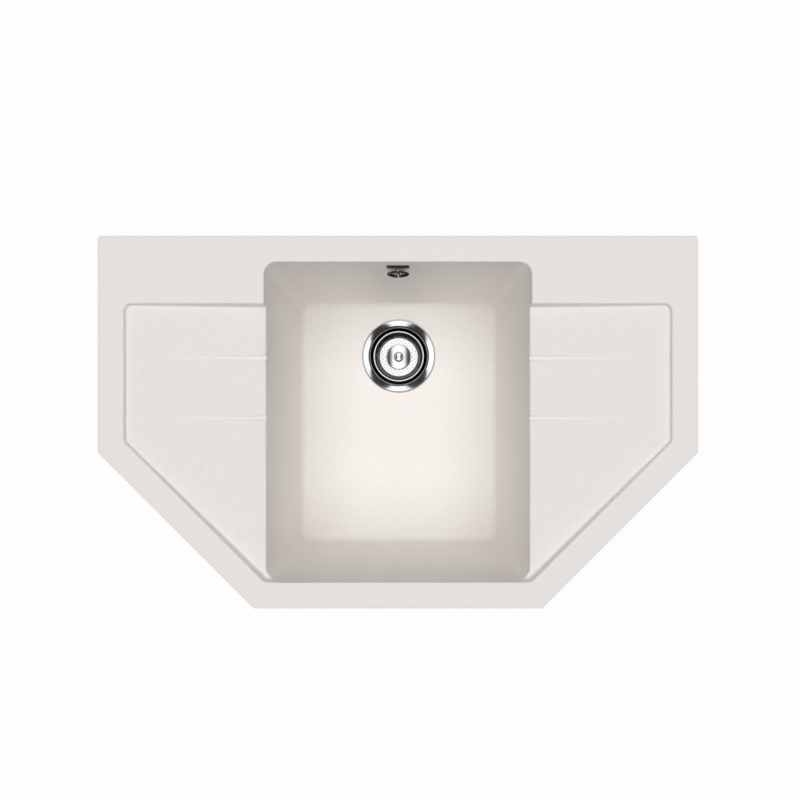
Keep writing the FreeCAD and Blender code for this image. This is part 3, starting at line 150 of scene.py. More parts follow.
# %% [markdown]
# ## Stone composite
# The moulding is quartz sand bound in acrylic resin and cast in a mould. The mould's polished half
# gives the side that shows a silky matt face in which the sand's grains are just seen, a little
# lighter and darker than the resin. The underside comes off the other half dull and rougher. An
# attribute of the mesh says which side a face is on, and it is painted further down.

# %% Stone composite
def stone_composite():
    """The sink's composite, smooth on the side that shows and raw on the underside."""
    # The real grains are under 1 mm; drawn twice as coarse they just show at this picture's scale.
    grain_mm, cloud_mm, raw_mm, fine_mm = 1.9, 90, 6, 0.9
    made = new_material("white quartz composite")
    tree = made.node_tree
    place = add_node(tree, "ShaderNodeTexCoord").outputs["Object"]
    side = add_node(tree, "ShaderNodeAttribute", {"attribute_name": "underside"}).outputs["Fac"]
    cells = add_node(tree, "ShaderNodeTexVoronoi", Vector=place, Scale=1 / (grain_mm * MM))
    grain = add_node(tree, "ShaderNodeSeparateColor", Color=cells.outputs["Color"])
    pale = add_node(tree, "ShaderNodeMix", {"data_type": "RGBA"}, Factor=grain,
                    A=linear("#F7F3EF"), B=linear("#FAF6F2"))
    dark = add_node(tree, "ShaderNodeMath", {"operation": "LESS_THAN"}, i0=grain, i1=0.04)
    share = add_node(tree, "ShaderNodeMath", {"operation": "MULTIPLY"}, i0=dark, i1=0.15)
    speckled = add_node(tree, "ShaderNodeMix", {"data_type": "RGBA"}, Factor=share, A=pale,
                        B=linear("#DDD7D1"))
    cloud = add_node(tree, "ShaderNodeTexNoise", Vector=place, Scale=1 / (cloud_mm * MM), Detail=3.0)
    faint = add_node(tree, "ShaderNodeMath", {"operation": "MULTIPLY"}, i0=cloud, i1=0.25)
    shown = add_node(tree, "ShaderNodeMix", {"data_type": "RGBA"}, Factor=faint, A=speckled,
                     B=linear("#F7F2EE"))
    patches = add_node(tree, "ShaderNodeTexNoise", Vector=place, Scale=1 / (raw_mm * MM), Detail=4.0)
    raw = add_node(tree, "ShaderNodeMix", {"data_type": "RGBA"}, Factor=patches,
                   A=linear("#D2CDC8"), B=linear("#DDD9D4"))
    colour = add_node(tree, "ShaderNodeMix", {"data_type": "RGBA"}, Factor=side, A=shown, B=raw)
    gloss = add_node(tree, "ShaderNodeMapRange", Value=side, To_Min=0.46, To_Max=0.8)
    fine = add_node(tree, "ShaderNodeTexNoise", Vector=place, Scale=1 / (fine_mm * MM), Detail=3.0)
    depth = add_node(tree, "ShaderNodeMapRange", Value=side, To_Min=0.35, To_Max=1.6)
    relief = add_node(tree, "ShaderNodeMath", {"operation": "MULTIPLY"}, i0=fine, i1=depth)
    bump = add_node(tree, "ShaderNodeBump", Height=relief, Distance=0.05 * MM)
    shader = add_node(tree, "ShaderNodeBsdfPrincipled", Base_Color=colour, Roughness=gloss, IOR=1.49,
                      Normal=bump)
    add_node(tree, "ShaderNodeOutputMaterial", Surface=shader)
    return made


STONE = stone_composite()
print("made", STONE.name)

# %% [markdown]
# ## Metals
# The strainer's ring, basket and knob are deep-drawn stainless steel under bright chrome: almost a
# mirror, with polishing marks so fine that they only soften it a little. Plates and bolts are plain
# stainless steel, turned or rolled, so their fine lines run round the axis or along the sheet. The
# overflow's rosette and its screw are zinc castings under a paler bright chrome. The clips are
# zinc-plated, which is dull and blotchy, and the nuts in the plastic are brass.

# %% Chrome and other metals
def metal(name, colour, second, roughness, blots_mm, mark_mm, depth_mm):
    """A metal with blots of a second colour, its gloss, and fine marks."""
    made = new_material(name)
    tree = made.node_tree
    place = add_node(tree, "ShaderNodeTexCoord").outputs["Object"]
    wear = add_node(tree, "ShaderNodeTexNoise", Vector=place, Scale=1 / (blots_mm * MM), Detail=3.0)
    tint = add_node(tree, "ShaderNodeMix", {"data_type": "RGBA"}, Factor=wear, A=linear(colour),
                    B=linear(second))
    gloss = add_node(tree, "ShaderNodeMapRange", Value=wear, To_Min=roughness * 0.8,
                     To_Max=roughness * 1.25)
    marks = add_node(tree, "ShaderNodeTexNoise", Vector=place, Scale=1 / (mark_mm * MM))
    bump = add_node(tree, "ShaderNodeBump", Height=marks, Distance=depth_mm * MM)
    shader = add_node(tree, "ShaderNodeBsdfPrincipled", Base_Color=tint, Metallic=1.0,
                      Roughness=gloss, Normal=bump)
    add_node(tree, "ShaderNodeOutputMaterial", Surface=shader)
    return made


def turned_steel(name, colour, roughness, axis, line_mm, depth_mm):
    """Steel with fine lines round a vertical axis, as a lathe or a spinning brush leaves them."""
    made = new_material(name)
    tree = made.node_tree
    place = add_node(tree, "ShaderNodeTexCoord").outputs["Object"]
    shift = add_node(tree, "ShaderNodeVectorMath", {"operation": "SUBTRACT"}, i0=place, i1=axis)
    flat = add_node(tree, "ShaderNodeVectorMath", {"operation": "MULTIPLY"}, i0=shift, i1=(1, 1, 0))
    reach = add_node(tree, "ShaderNodeVectorMath", {"operation": "LENGTH"}, i0=flat).outputs["Value"]
    line = add_node(tree, "ShaderNodeTexNoise", {"noise_dimensions": "1D"}, W=reach,
                    Scale=1 / (line_mm * MM), Detail=3.0)
    gloss = add_node(tree, "ShaderNodeMapRange", Value=line, To_Min=roughness * 0.75,
                     To_Max=roughness * 1.3)
    bump = add_node(tree, "ShaderNodeBump", Height=line, Distance=depth_mm * MM)
    shader = add_node(tree, "ShaderNodeBsdfPrincipled", Base_Color=linear(colour), Metallic=1.0,
                      Roughness=gloss, Normal=bump)
    add_node(tree, "ShaderNodeOutputMaterial", Surface=shader)
    return made


CHROME = metal("bright chrome on steel", "#B3B5B6", "#B7B8B8", 0.045, 20, 0.5, 0.0002)
CAST = metal("bright chrome on zinc casting", "#E3E5E6", "#E7E8E8", 0.06, 20, 0.5, 0.0002)
STEEL = turned_steel("spun stainless steel", "#B4B4B2", 0.22, tuple(DRAIN), 0.35, 0.006)
ZINC = metal("zinc-plated strip steel", "#A9ADB2", "#BFC2C0", 0.34, 5, 0.8, 0.01)
BRASS = metal("turned brass", "#C9A45C", "#C39C52", 0.28, 12, 0.5, 0.008)
PLATE = metal("dark anodised aluminium", "#4A4847", "#5E5C5A", 0.33, 3, 0.4, 0.004)
print("metals", [m.name for m in (CHROME, CAST, STEEL, ZINC, BRASS, PLATE)])

# %% [markdown]
# ## Rubber and plastic
# Gaskets and the stopper's seal are moulded black rubber, matt with a faint bloom. The waste body,
# the elbow and the union nuts are injection-moulded polypropylene, a milky white with a spark-eroded
# face. The hose is softer grey polypropylene, blown, and shinier on its crests.

# %% Rubber and plastic
def moulded(name, low, high, roughness, grain_mm, depth_mm, ior, scatter=0.0):
    """A moulded rubber or plastic: two near colours in clouds, an even gloss and a grained face."""
    cloud_mm = 15
    made = new_material(name)
    tree = made.node_tree
    place = add_node(tree, "ShaderNodeTexCoord").outputs["Object"]
    cloud = add_node(tree, "ShaderNodeTexNoise", Vector=place, Scale=1 / (cloud_mm * MM), Detail=3.0)
    tint = add_node(tree, "ShaderNodeMix", {"data_type": "RGBA"}, Factor=cloud, A=linear(low),
                    B=linear(high))
    grain = add_node(tree, "ShaderNodeTexNoise", Vector=place, Scale=1 / (grain_mm * MM))
    gloss = add_node(tree, "ShaderNodeMapRange", Value=grain, To_Min=roughness * 0.85,
                     To_Max=roughness * 1.15)
    bump = add_node(tree, "ShaderNodeBump", Height=grain, Distance=depth_mm * MM)
    shader = add_node(tree, "ShaderNodeBsdfPrincipled", Base_Color=tint, Roughness=gloss, IOR=ior,
                      Subsurface_Weight=scatter, Subsurface_Scale=2 * MM, Normal=bump)
    add_node(tree, "ShaderNodeOutputMaterial", Surface=shader)
    return made


RUBBER = moulded("black moulded rubber", "#1B1B1C", "#262627", 0.62, 0.6, 0.02, ior=1.52)
PLASTIC = moulded("white polypropylene", "#E2E2DF", "#D9D9D5", 0.42, 0.5, 0.015, ior=1.49,
                  scatter=0.05)
HOSE = moulded("grey blown polypropylene", "#B9BCBE", "#C6C8C9", 0.32, 1.2, 0.02, ior=1.49)
finish_of = {"composite": STONE, "chrome": CHROME, "steel": STEEL, "zinc": ZINC, "brass": BRASS,
             "rubber": RUBBER, "plastic": PLASTIC, "hose": HOSE, "plate": PLATE}
slot_of = {entry["node"]: entry["material_slot"] for entry in frame["record"]["subparts"]}
print("finishes", sorted(finish_of))

# %% [markdown]
# ## Smooth copies of the CAD nodes
# A CAD node is a mesh of loose triangles, so each facet would show. A copy with its corners merged
# can be shaded smoothly where the solid is round and kept crisp at real edges. The normals are
# weighted by face area, so that the large flats stay flat beside their rounded edges.

# %% A copy that shades smoothly
SHARP = 32


def dress(piece, node, sharp_degrees=SHARP):
    """Shades a piece and gives it the body and the slot's finish of the CAD node that it stands for."""
    piece.data.shade_smooth()
    piece.data.set_sharp_from_angle(angle=math.radians(sharp_degrees))
    flats = piece.modifiers.new("flats stay flat", "WEIGHTED_NORMAL")
    flats.keep_sharp = True
    flats.weight = 100
    piece.data.materials.clear()
    piece.data.materials.append(finish_of[slot_of[node]])
    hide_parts(node)
    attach(piece, body_of(node))


def merged_copy(node):
    """A copy of a CAD node with its corners merged."""
    made = bpy.data.objects.new(f"{node}_finish", frame["nodes"][node].data.copy())
    scene.collection.objects.link(made)
    mesh = bmesh.new()
    mesh.from_mesh(made.data)
    bmesh.ops.remove_doubles(mesh, verts=mesh.verts, dist=2e-6)
    mesh.to_mesh(made.data)
    mesh.free()
    return made


def smooth_copy(node, sharp_degrees=SHARP):
    """A merged copy of a CAD node, shaded smoothly, that stands for it."""
    made = merged_copy(node)
    dress(made, node, sharp_degrees)
    return made


print("edges sharper than", SHARP, "degrees stay crisp")

# %% [markdown]
# ## The moulding
# The sink's own shape comes from the CAD, with its drafted walls, its rounded step and its fading
# grooves. The photograph shows the grooves more clearly than the CAD's shallow ones would, so the
# copy's are carved a little deeper and wider, most at the bowl and less towards their ends. The copy
# also gets an attribute that is 1 on the faces of the underside. A face is on that side if it looks
# down, or if it is on a wall and looks away from the bowl's middle.

# %% The moulding and its underside
# The grooves' places along Y, their length, the widths of their floor at the bowl and at the end,
# and their depth, all in mm and as in the CAD. A drainer's field starts at the bowl's opening, whose
# edge is rounded, and rises outwards.
GROOVES_AT, GROOVE_LENGTH, GROOVE_FLOOR, GROOVE_END, GROOVE_DEEP = (5, 84), 138, 3.8, 2.6, 1
FIELD_FROM, FIELD_DEEP, FIELD_RISE, OPENING_ROUND = 174, 10, 5 / 182, 1.8
# How much the floor is lowered and each edge moved at the bowl, how far past the floor a corner
# still counts as the floor's, how far past that it counts as the edge's, and how far under the field
# it has to lie to be on the floor.
CARVED, WIDENED, FLOOR_SPARE, EDGE_SPARE, UNDER_FIELD = 1.5, 0.9, 0.15, 1.2, 0.02


def paint_underside(piece):
    """Marks the faces that the mould's rough half made."""
    side = piece.data.attributes.new("underside", "FLOAT", "FACE")
    rough = 0
    for face, value in zip(piece.data.polygons, side.data):
        away = face.normal.x * face.center.x + face.normal.y * face.center.y
        on_wall = face.center.z < -2 * MM and away > 0
        value.value = 1.0 if face.normal.z < -0.5 or (on_wall and face.normal.z < 0.6) else 0.0
        rough += int(value.value)
    return rough


def carve_grooves(piece):
    """Deepens and widens the drain grooves, most at the bowl, and says how many corners it moved."""
    moved = 0
    for vertex in piece.data.vertices:
        out = max(abs(vertex.co.x) / MM - FIELD_FROM, -OPENING_ROUND)
        share = max(0, 1 - max(out, 0) / GROOVE_LENGTH)
        below = deck_top / MM - FIELD_DEEP + max(out, 0) * FIELD_RISE - vertex.co.z / MM
        middle = min(GROOVES_AT, key=lambda y: abs(vertex.co.y / MM - y))
        across = vertex.co.y / MM - middle
        reach = (GROOVE_FLOOR * share + GROOVE_END * (1 - share)) / 2 + FLOOR_SPARE
        beside = below > GROOVE_DEEP * share + OPENING_ROUND or abs(across) > reach + EDGE_SPARE
        if out <= -OPENING_ROUND or share == 0 or beside:
            continue
        if abs(across) > reach:
            vertex.co.y += math.copysign(WIDENED * share * MM, across)
        elif below > UNDER_FIELD:
            vertex.co.z -= CARVED * share * MM
        moved += 1
    return moved


sink = merged_copy("sink_body")
print("groove corners", carve_grooves(sink))
dress(sink, "sink_body", 28)
print("underside faces", paint_underside(sink), "of", len(sink.data.polygons))

# %% [markdown]
# ## Turned sheet metal
# The ring with its cup, and the basket, are pressed from round blanks, so each is its half section
# turned about the axis. Modelled anew, they get as many facets as a mirror needs. The section is a
# list of corners, each with the radius of its bend, and a bend is drawn as an arc.

# %% A section with bends, turned about the drain's axis
BEND_STEPS = 8


def bent(corners, steps=BEND_STEPS):
    """The points of a closed section from (radius, height, bend) in mm, with its bends as arcs."""
    points = []
    for number, (x, y, bend) in enumerate(corners):
        here = Vector((x, y))
        if not bend:
            points.append(here)
            continue
        before = Vector(corners[number - 1][:2]) - here
        after = Vector(corners[(number + 1) % len(corners)][:2]) - here
        half = before.angle(after) / 2
        reach = bend / math.tan(half)
        centre = here + (before.normalized() + after.normalized()).normalized() * bend / math.sin(half)
        start = here + before.normalized() * reach - centre
        end = here + after.normalized() * reach - centre
        sweep = start.angle_signed(end)
        for step in range(steps + 1):
            angle = -sweep * step / steps
            points.append(centre + Matrix.Rotation(angle, 2) @ start)
    return points


def new_piece(name, mesh):
    """An object from a mesh being built."""
    made = bpy.data.objects.new(name, bpy.data.meshes.new(name))
    mesh.to_mesh(made.data)
    mesh.free()
    scene.collection.objects.link(made)
    return made


def turned(name, corners, around=192, centre=DRAIN):
    """A closed section in mm, turned about a vertical axis through a centre that is in metres."""
    section = bent(corners)
    mesh = bmesh.new()
    rings = []
    for x, y in section:
        if x < 1e-6:
            rings.append([mesh.verts.new(centre + Vector((0, 0, y * MM)))])
            continue
        spots = [2 * math.pi * n / around for n in range(around)]
        rings.append([mesh.verts.new(centre + Vector((x * math.cos(a), x * math.sin(a), y)) * MM)
                      for a in spots])
    for ring, after in zip(rings, rings[1:] + rings[:1]):
        for n in range(around):
            m = (n + 1) % around
            corner = [ring[n % len(ring)], ring[m % len(ring)],
                      after[m % len(after)], after[n % len(after)]]
            corner = list(dict.fromkeys(corner))
            if len(corner) > 2:
                mesh.faces.new(corner)
    bmesh.ops.recalc_face_normals(mesh, faces=mesh.faces)
    return new_piece(name, mesh)


print("a bend is an arc of", BEND_STEPS + 1, "points")

# %% [markdown]
# ## Holes in sheet metal
# The basket has rings of small holes and the cup has six large ones. Geometry Nodes punch a ring: a
# circle of points carries one cylinder each, and a boolean takes them out of the sheet. The tree's
# inputs are the ring's radius, the holes' radius and count, and how far the ring is turned.

# %% A tree that punches a ring of holes
def new_tree(name, inputs):
    """A tree with its named inputs, from a socket type and a default for each, and its output."""
    tree = bpy.data.node_groups.new(name, "GeometryNodeTree")
    for label, (kind, default) in inputs.items():
        socket = tree.interface.new_socket(label, in_out="INPUT", socket_type=f"NodeSocket{kind}")
        if default is not None:
            socket.default_value = default
    tree.interface.new_socket("Geometry", in_out="OUTPUT", socket_type="NodeSocketGeometry")
    return tree


def punch_tree():
    """A tree that takes a ring of upright cylinders out of a mesh."""
    tree = new_tree("punch a ring of holes", {
        "Geometry": ("Geometry", None), "Centre": ("Vector", None), "Ring Radius": ("Float", 0.02),
        "Hole Radius": ("Float", 0.001), "Holes": ("Int", 20), "Turn": ("Float", 0.0),
        "Material": ("Material", None)})
    given = add_node(tree, "NodeGroupInput").outputs
    circle = add_node(tree, "GeometryNodeMeshCircle", Vertices=given["Holes"],
                      Radius=given["Ring Radius"])
    turn = add_node(tree, "ShaderNodeCombineXYZ", Z=given["Turn"])
    placed = add_node(tree, "GeometryNodeTransform", Geometry=circle, Translation=given["Centre"],
                      Rotation=turn)
    drill = add_node(tree, "GeometryNodeMeshCylinder", Vertices=20, Radius=given["Hole Radius"],
                     Depth=5 * MM)
    drills = add_node(tree, "GeometryNodeInstanceOnPoints", Points=placed, Instance=drill)
    solid = add_node(tree, "GeometryNodeRealizeInstances", Geometry=drills)
    punched = add_node(tree, "GeometryNodeMeshBoolean", {"operation": "DIFFERENCE", "solver": "EXACT"},
                       Mesh_1=given["Geometry"], Mesh_2=solid)
    real = add_node(tree, "GeometryNodeRealizeInstances", Geometry=punched)
    done = add_node(tree, "GeometryNodeSetMaterial", Geometry=real, Material=given["Material"])
    add_node(tree, "NodeGroupOutput", Geometry=done)
    return tree


PUNCH = punch_tree()


def run_tree(piece, tree, values):
    """Runs a tree on an object with its inputs, and gives the result as a plain mesh."""
    step = piece.modifiers.new(tree.name, "NODES")
    step.node_group = tree
    for item in tree.interface.items_tree:
        if item.item_type == "SOCKET" and item.in_out == "INPUT" and item.name in values:
            step[item.identifier] = values[item.name]
    evaluated = piece.evaluated_get(bpy.context.evaluated_depsgraph_get())
    result = bpy.data.meshes.new_from_object(evaluated)
    piece.modifiers.clear()
    return result


def punch(piece, ring_mm, hole_mm, count, height_mm, turn=0.0):
    """Punches a ring of holes about the drain's axis, at a height below the strainer's ring."""
    piece.data = run_tree(piece, PUNCH, {
        "Centre": DRAIN + Vector((0, 0, height_mm * MM)), "Ring Radius": ring_mm * MM,
        "Hole Radius": hole_mm * MM, "Holes": count, "Turn": turn, "Material": CHROME})


print("tree", PUNCH.name, "with", len(PUNCH.nodes), "nodes")

# %% [markdown]
# ## The ring and its cup
# The ring falls gently to the throat, and the bend into the cup is what catches the light as a
# bright band round a dark hole. The cup's floor has six holes and a small well for the bolt.

# %% The ring and its cup
RING, THROAT, CUP, WELL, BOLT = 57, 44.3, 42.5, 12, 5.3
SHEET, RING_TALL, DISH, CUP_DEEP, WELL_DEEP, THROAT_BEND = 1.0, 1.6, 0.9, 30, 34, 4.5
CUP_HOLES_AT, CUP_HOLE, CUP_HOLES = 21.5, 6.8, 6
flange = turned("strainer_flange_finish", [
    (RING, 0, 0.75), (THROAT, -DISH, THROAT_BEND), (CUP, -CUP_DEEP, 3), (WELL, -CUP_DEEP, 0.6),
    (WELL, -WELL_DEEP, 0.6), (BOLT, -WELL_DEEP, 0), (BOLT, -WELL_DEEP - SHEET, 0),
    (WELL + SHEET, -WELL_DEEP - SHEET, 1.2), (WELL + SHEET, -CUP_DEEP - SHEET, 0.3),
    (CUP + SHEET, -CUP_DEEP - SHEET, 4), (THROAT + SHEET, -RING_TALL, THROAT_BEND - SHEET),
    (RING, -RING_TALL, 0)])
punch(flange, CUP_HOLES_AT, CUP_HOLE, CUP_HOLES, -CUP_DEEP - SHEET / 2)
dress(flange, "strainer_flange")
print("ring", len(flange.data.polygons), "faces")

# %% [markdown]
# ## The basket
# The wall leans outwards to a rolled rim, and the middle of the floor is pressed up to a table that
# carries the knob. The table's edge is nearly upright, steeper than in the CAD, and the rim is a
# rounded square where the CAD has a round wire, because these come nearer to what the photograph's
# basket mirrors. The press leaves the table domed by a hair and the floor and the rim falling
# inwards by a hair, for the same reason. Four rings of twenty holes let the water through, and each
# ring is turned half a step against the last.

# %% The basket with its holes
RIM, WIRE, RIM_AT, FOOT, FLOOR_AT, DISH_R, RAISED = 39.2, 1.2, -6, 31.8, -18, 19.9, 3
SKIN, NECK, FOOT_BEND, TABLE_BEND, RIM_BEND = 0.8, 3.06, 2.4, 0.5, 0.6
DOME, FLOOR_FALL, RIM_FALL = 0.05, 0.14, 0.07
HOLES_AT, HOLE, HOLES = (22.3, 25.2, 28.1, 31.1), 0.75, 20


def domed(first, last, edge, level, dome, steps=6):
    """Points of a gentle dome between two radii that is highest on the axis and level at its edge."""
    reaches = [first + (last - first) * step / steps for step in range(steps + 1)]
    return [(reach, level + dome * (1 - (reach / edge) ** 2), 0) for reach in reaches]


table = FLOOR_AT + RAISED
foot = FLOOR_AT - FLOOR_FALL
sheet = turned("basket_sheet", [
    *domed(NECK, DISH_R - 2 * TABLE_BEND, DISH_R, table - DOME, DOME),
    (DISH_R, table - DOME, TABLE_BEND),
    (DISH_R + 0.1, foot, 0.3), (FOOT, FLOOR_AT, FOOT_BEND), (RIM - SKIN / 2, RIM_AT, 0),
    (RIM + SKIN / 2, RIM_AT, 0), (FOOT + SKIN / 2, FLOOR_AT - SKIN, FOOT_BEND + SKIN),
    (DISH_R - SKIN, foot - SKIN, TABLE_BEND + SKIN / 2), (DISH_R - SKIN, table - SKIN, 0.2),
    (NECK, table - SKIN, 0)])
for number, ring_mm in enumerate(HOLES_AT):
    punch(sheet, ring_mm, HOLE, HOLES, FLOOR_AT, number % 2 * math.pi / HOLES)
rim = turned("basket_rim", [
    (RIM - WIRE, RIM_AT - WIRE, RIM_BEND), (RIM + WIRE, RIM_AT - WIRE, RIM_BEND),
    (RIM + WIRE, RIM_AT + WIRE, RIM_BEND), (RIM - WIRE, RIM_AT + WIRE - RIM_FALL, RIM_BEND)])


def joined(name, *pieces):
    """One object from several meshes."""
    mesh = bmesh.new()
    for piece in pieces:
        mesh.from_mesh(piece.data)
    made = new_piece(name, mesh)
    for piece in pieces:
        bpy.data.objects.remove(piece)
    return made


basket = joined("basket_finish", sheet, rim)
dress(basket, "basket")
print("basket", len(basket.data.polygons), "faces")

# %% [markdown]
# ## Knob, stem and stopper
# The knob is a small turned cap with a waist for the fingers. Under the basket, the stem's shoulder
# presses on the plate, and the rubber seal under the plate closes the cup's holes.

# %% Knob, stem, plate and seal
KNOB_FOOT, KNOB_TOP, KNOB_HOLLOW = -14.9, -10, 0.08
knob = turned("basket_knob_finish", [
    (3, KNOB_FOOT, 0), (5.2, KNOB_FOOT, 0.4), (5.2, KNOB_FOOT + 1.6, 0.5), (7.7, KNOB_FOOT + 2.8, 0.5),
    (7.7, KNOB_TOP, 1.5), *reversed(domed(0, 5.6, 5.6, KNOB_TOP, -KNOB_HOLLOW)),
    (0, KNOB_FOOT + 3.5, 0), (3, KNOB_FOOT + 3.5, 0)], around=96)
dress(knob, "basket_knob")
SEAL_HOLE, SEAL, SEAL_FOOT, SEAL_TOP = 13, 33, -30, -27
seal = turned("stopper_seal_finish", [(SEAL_HOLE, SEAL_FOOT, 0.3), (SEAL, SEAL_FOOT, 0.9),
                                      (SEAL, SEAL_TOP, 0.9), (SEAL_HOLE, SEAL_TOP, 0.3)])
dress(seal, "stopper_seal")
for node in ("basket_stem", "stopper_plate", "stem_clip", "centre_bolt"):
    smooth_copy(node)
print("knob and seal made")

# %% [markdown]
# ## Screw threads
# A thread is a ridge that climbs round a shank. Geometry Nodes sweep a small triangle along a spiral
# whose pitch is the thread's, so that one tree makes the fine thread of a clip's screw and the
# coarse pipe thread of the outlet.

# %% A tree that winds a thread
RIDGE_SHARE = 0.42  # height of the ridge, as a share of the pitch


def thread_tree():
    """A tree that adds a ridge, swept along a spiral, to a mesh."""
    tree = new_tree("wind a thread", {
        "Geometry": ("Geometry", None), "Crest Radius": ("Float", 0.0025), "Pitch": ("Float", 0.0008),
        "Turns": ("Float", 10.0), "Steps": ("Int", 32), "Start": ("Vector", None),
        "Material": ("Material", None)})
    given = add_node(tree, "NodeGroupInput").outputs
    ridge = add_node(tree, "ShaderNodeMath", {"operation": "MULTIPLY"}, i0=given["Pitch"],
                     i1=RIDGE_SHARE)
    middle = add_node(tree, "ShaderNodeMath", {"operation": "SUBTRACT"}, i0=given["Crest Radius"],
                      i1=ridge)
    rise = add_node(tree, "ShaderNodeMath", {"operation": "MULTIPLY"}, i0=given["Pitch"],
                    i1=given["Turns"])
    spiral = add_node(tree, "GeometryNodeCurveSpiral", Resolution=given["Steps"],
                      Rotations=given["Turns"], Start_Radius=middle, End_Radius=middle, Height=rise)
    level = add_node(tree, "GeometryNodeSetCurveNormal", {"mode": "Z_UP"}, Curve=spiral)
    profile = add_node(tree, "GeometryNodeCurvePrimitiveCircle", Resolution=4, Radius=ridge)
    swept = add_node(tree, "GeometryNodeCurveToMesh", Curve=level, Profile_Curve=profile,
                     Fill_Caps=True)
    placed = add_node(tree, "GeometryNodeTransform", Geometry=swept, Translation=given["Start"])
    both = add_node(tree, "GeometryNodeJoinGeometry", Geometry=given["Geometry"])
    tree.links.new(placed.outputs[0], both.inputs[0])
    real = add_node(tree, "GeometryNodeRealizeInstances", Geometry=both)
    done = add_node(tree, "GeometryNodeSetMaterial", Geometry=real, Material=given["Material"])
    add_node(tree, "NodeGroupOutput", Geometry=done)
    return tree


THREAD = thread_tree()


def wind(piece, crest_mm, pitch_mm, length_mm, start, material, steps=32):
    """Adds a thread of a length, upwards from a spot, to a piece whose shank is its root."""
    turns = length_mm / pitch_mm
    piece.data = run_tree(piece, THREAD, {
        "Crest Radius": crest_mm * MM, "Pitch": pitch_mm * MM, "Turns": turns,
        "Steps": steps, "Start": start, "Material": material})


print("tree", THREAD.name, "with", len(THREAD.nodes), "nodes")

# %% [markdown]
# ## The clips
# Each clip is a screw driven from below and a bent strip that it pulls up against the worktop. The
# screw is made once, with its hexagon socket and its thread, and copied to each clip's body.

# %% Clip screws with threads and sockets
screw_low, screw_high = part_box(clip_names[0])
HEAD_MM, SHANK_MM, ROOT_MM, PITCH_MM, SOCKET_MM, HEAD_TALL = 5, 2.5, 2.12, 0.8, 4, 3.5
TIP_BEVEL, THREAD_FROM, THREAD_SHORT = 0.6, 1.5, 3
foot_mm = screw_low.z / MM
tip_mm = screw_high.z / MM


def clip_screw_form():
    """One screw on the Z axis, at its real height."""
    head_top = foot_mm + HEAD_TALL
    socket = SOCKET_MM / math.sqrt(3)
    form = turned("clip_screw_form", [
        (0, foot_mm + HEAD_TALL * 0.55, 0), (socket, foot_mm + HEAD_TALL * 0.5, 0),
        (socket + 0.15, foot_mm, 0.1), (HEAD_MM, foot_mm, 0.5), (HEAD_MM, head_top, 0.2),
        (ROOT_MM, head_top, 0), (ROOT_MM, tip_mm - TIP_BEVEL, 0), (ROOT_MM - TIP_BEVEL, tip_mm, 0),
        (0, tip_mm, 0)], around=48, centre=Vector())
    for vertex in form.data.vertices:
        reach = vertex.co.xy.length / MM
        if reach < socket + 0.1 and vertex.co.z < (foot_mm + HEAD_TALL) * MM - 0.5 * MM:
            angle = math.atan2(vertex.co.y, vertex.co.x) % (math.pi / 3) - math.pi / 6
            squeeze = math.cos(math.pi / 6) / math.cos(angle)
            vertex.co.x *= squeeze
            vertex.co.y *= squeeze
    start = Vector((0, 0, (head_top + THREAD_FROM) * MM))
    wind(form, SHANK_MM, PITCH_MM, tip_mm - head_top - THREAD_SHORT, start, ZINC, steps=20)
    return form


form = clip_screw_form()
for name in clip_names:
    low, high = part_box(name)
    screw = bpy.data.objects.new(f"{name}_finish", form.data.copy())
    screw.data.transform(Matrix.Translation(((low.x + high.x) / 2, (low.y + high.y) / 2, 0)))
    scene.collection.objects.link(screw)
    dress(screw, name)
    smooth_copy(name.replace("screw", "bracket"))
bpy.data.objects.remove(form)
print("clips", len(clip_names))

# %% [markdown]
# ## The waste body and its outlet thread
# Under the floor, a moulded body gathers the water from the cup. Its outlet has a pipe thread of
# eleven turns to the inch for the trap's union nut. The copy of the CAD body keeps its solid, and
# the ridge is wound round the outlet just inside the thread's outer size.

# %% Waste body with thread
PIPE_PITCH, PIPE_RADIUS, PIPE_ROOT, PIPE_TALL = 25.4 / 11, 23.9, 22.45, 24
PIPE_THREAD_FROM, PIPE_THREAD_TALL = 1.5, 19
waste = merged_copy("waste_body")
waste_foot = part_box("waste_body")[0].z
for vertex in waste.data.vertices:
    out = vertex.co - DRAIN
    if vertex.co.z < waste_foot + PIPE_TALL * MM and abs(out.xy.length / MM - PIPE_RADIUS) < 0.1:
        vertex.co.xy = DRAIN.xy + out.xy * PIPE_ROOT / PIPE_RADIUS
pipe_start = Vector((DRAIN.x, DRAIN.y, waste_foot + PIPE_THREAD_FROM * MM))
wind(waste, PIPE_RADIUS, PIPE_PITCH, PIPE_THREAD_TALL, pipe_start, PLASTIC, steps=64)
dress(waste, "waste_body")
print("waste body", len(waste.data.polygons), "faces")

# %% [markdown]
# ## The overflow
# The rosette is a chromed die casting with a ring, two crossed bars and a slotted screw in the
# middle. Behind it, the dark of the opening is the real hollow of the elbow. Its plate is left bare.

# %% Overflow pieces
for node in ("overflow_rosette", "overflow_screw", "name_plate", "overflow_elbow", "overflow_gasket",
             "elbow_insert", "bolt_insert", "clip_inserts", "flange_gasket", "waste_gasket", "rim_seal",
             "hose_nut_top", "hose_nut_bottom", "hose_washer_top", "hose_washer_bottom"):
    smooth_copy(node)
for name in ("overflow_rosette", "overflow_screw"):
    bpy.data.objects[f"{name}_finish"].data.materials[0] = CAST
print("overflow and gaskets dressed")

# %% [markdown]
# ## The ribbed hose
# The overflow hose is blown with ribs so that it bends without kinking. Its route is two straight
# runs and a quarter bend. Geometry Nodes walk along it, swell and shrink the radius from rib to rib
# by a cosine, leave a smooth cuff at each end, and cut the bore.

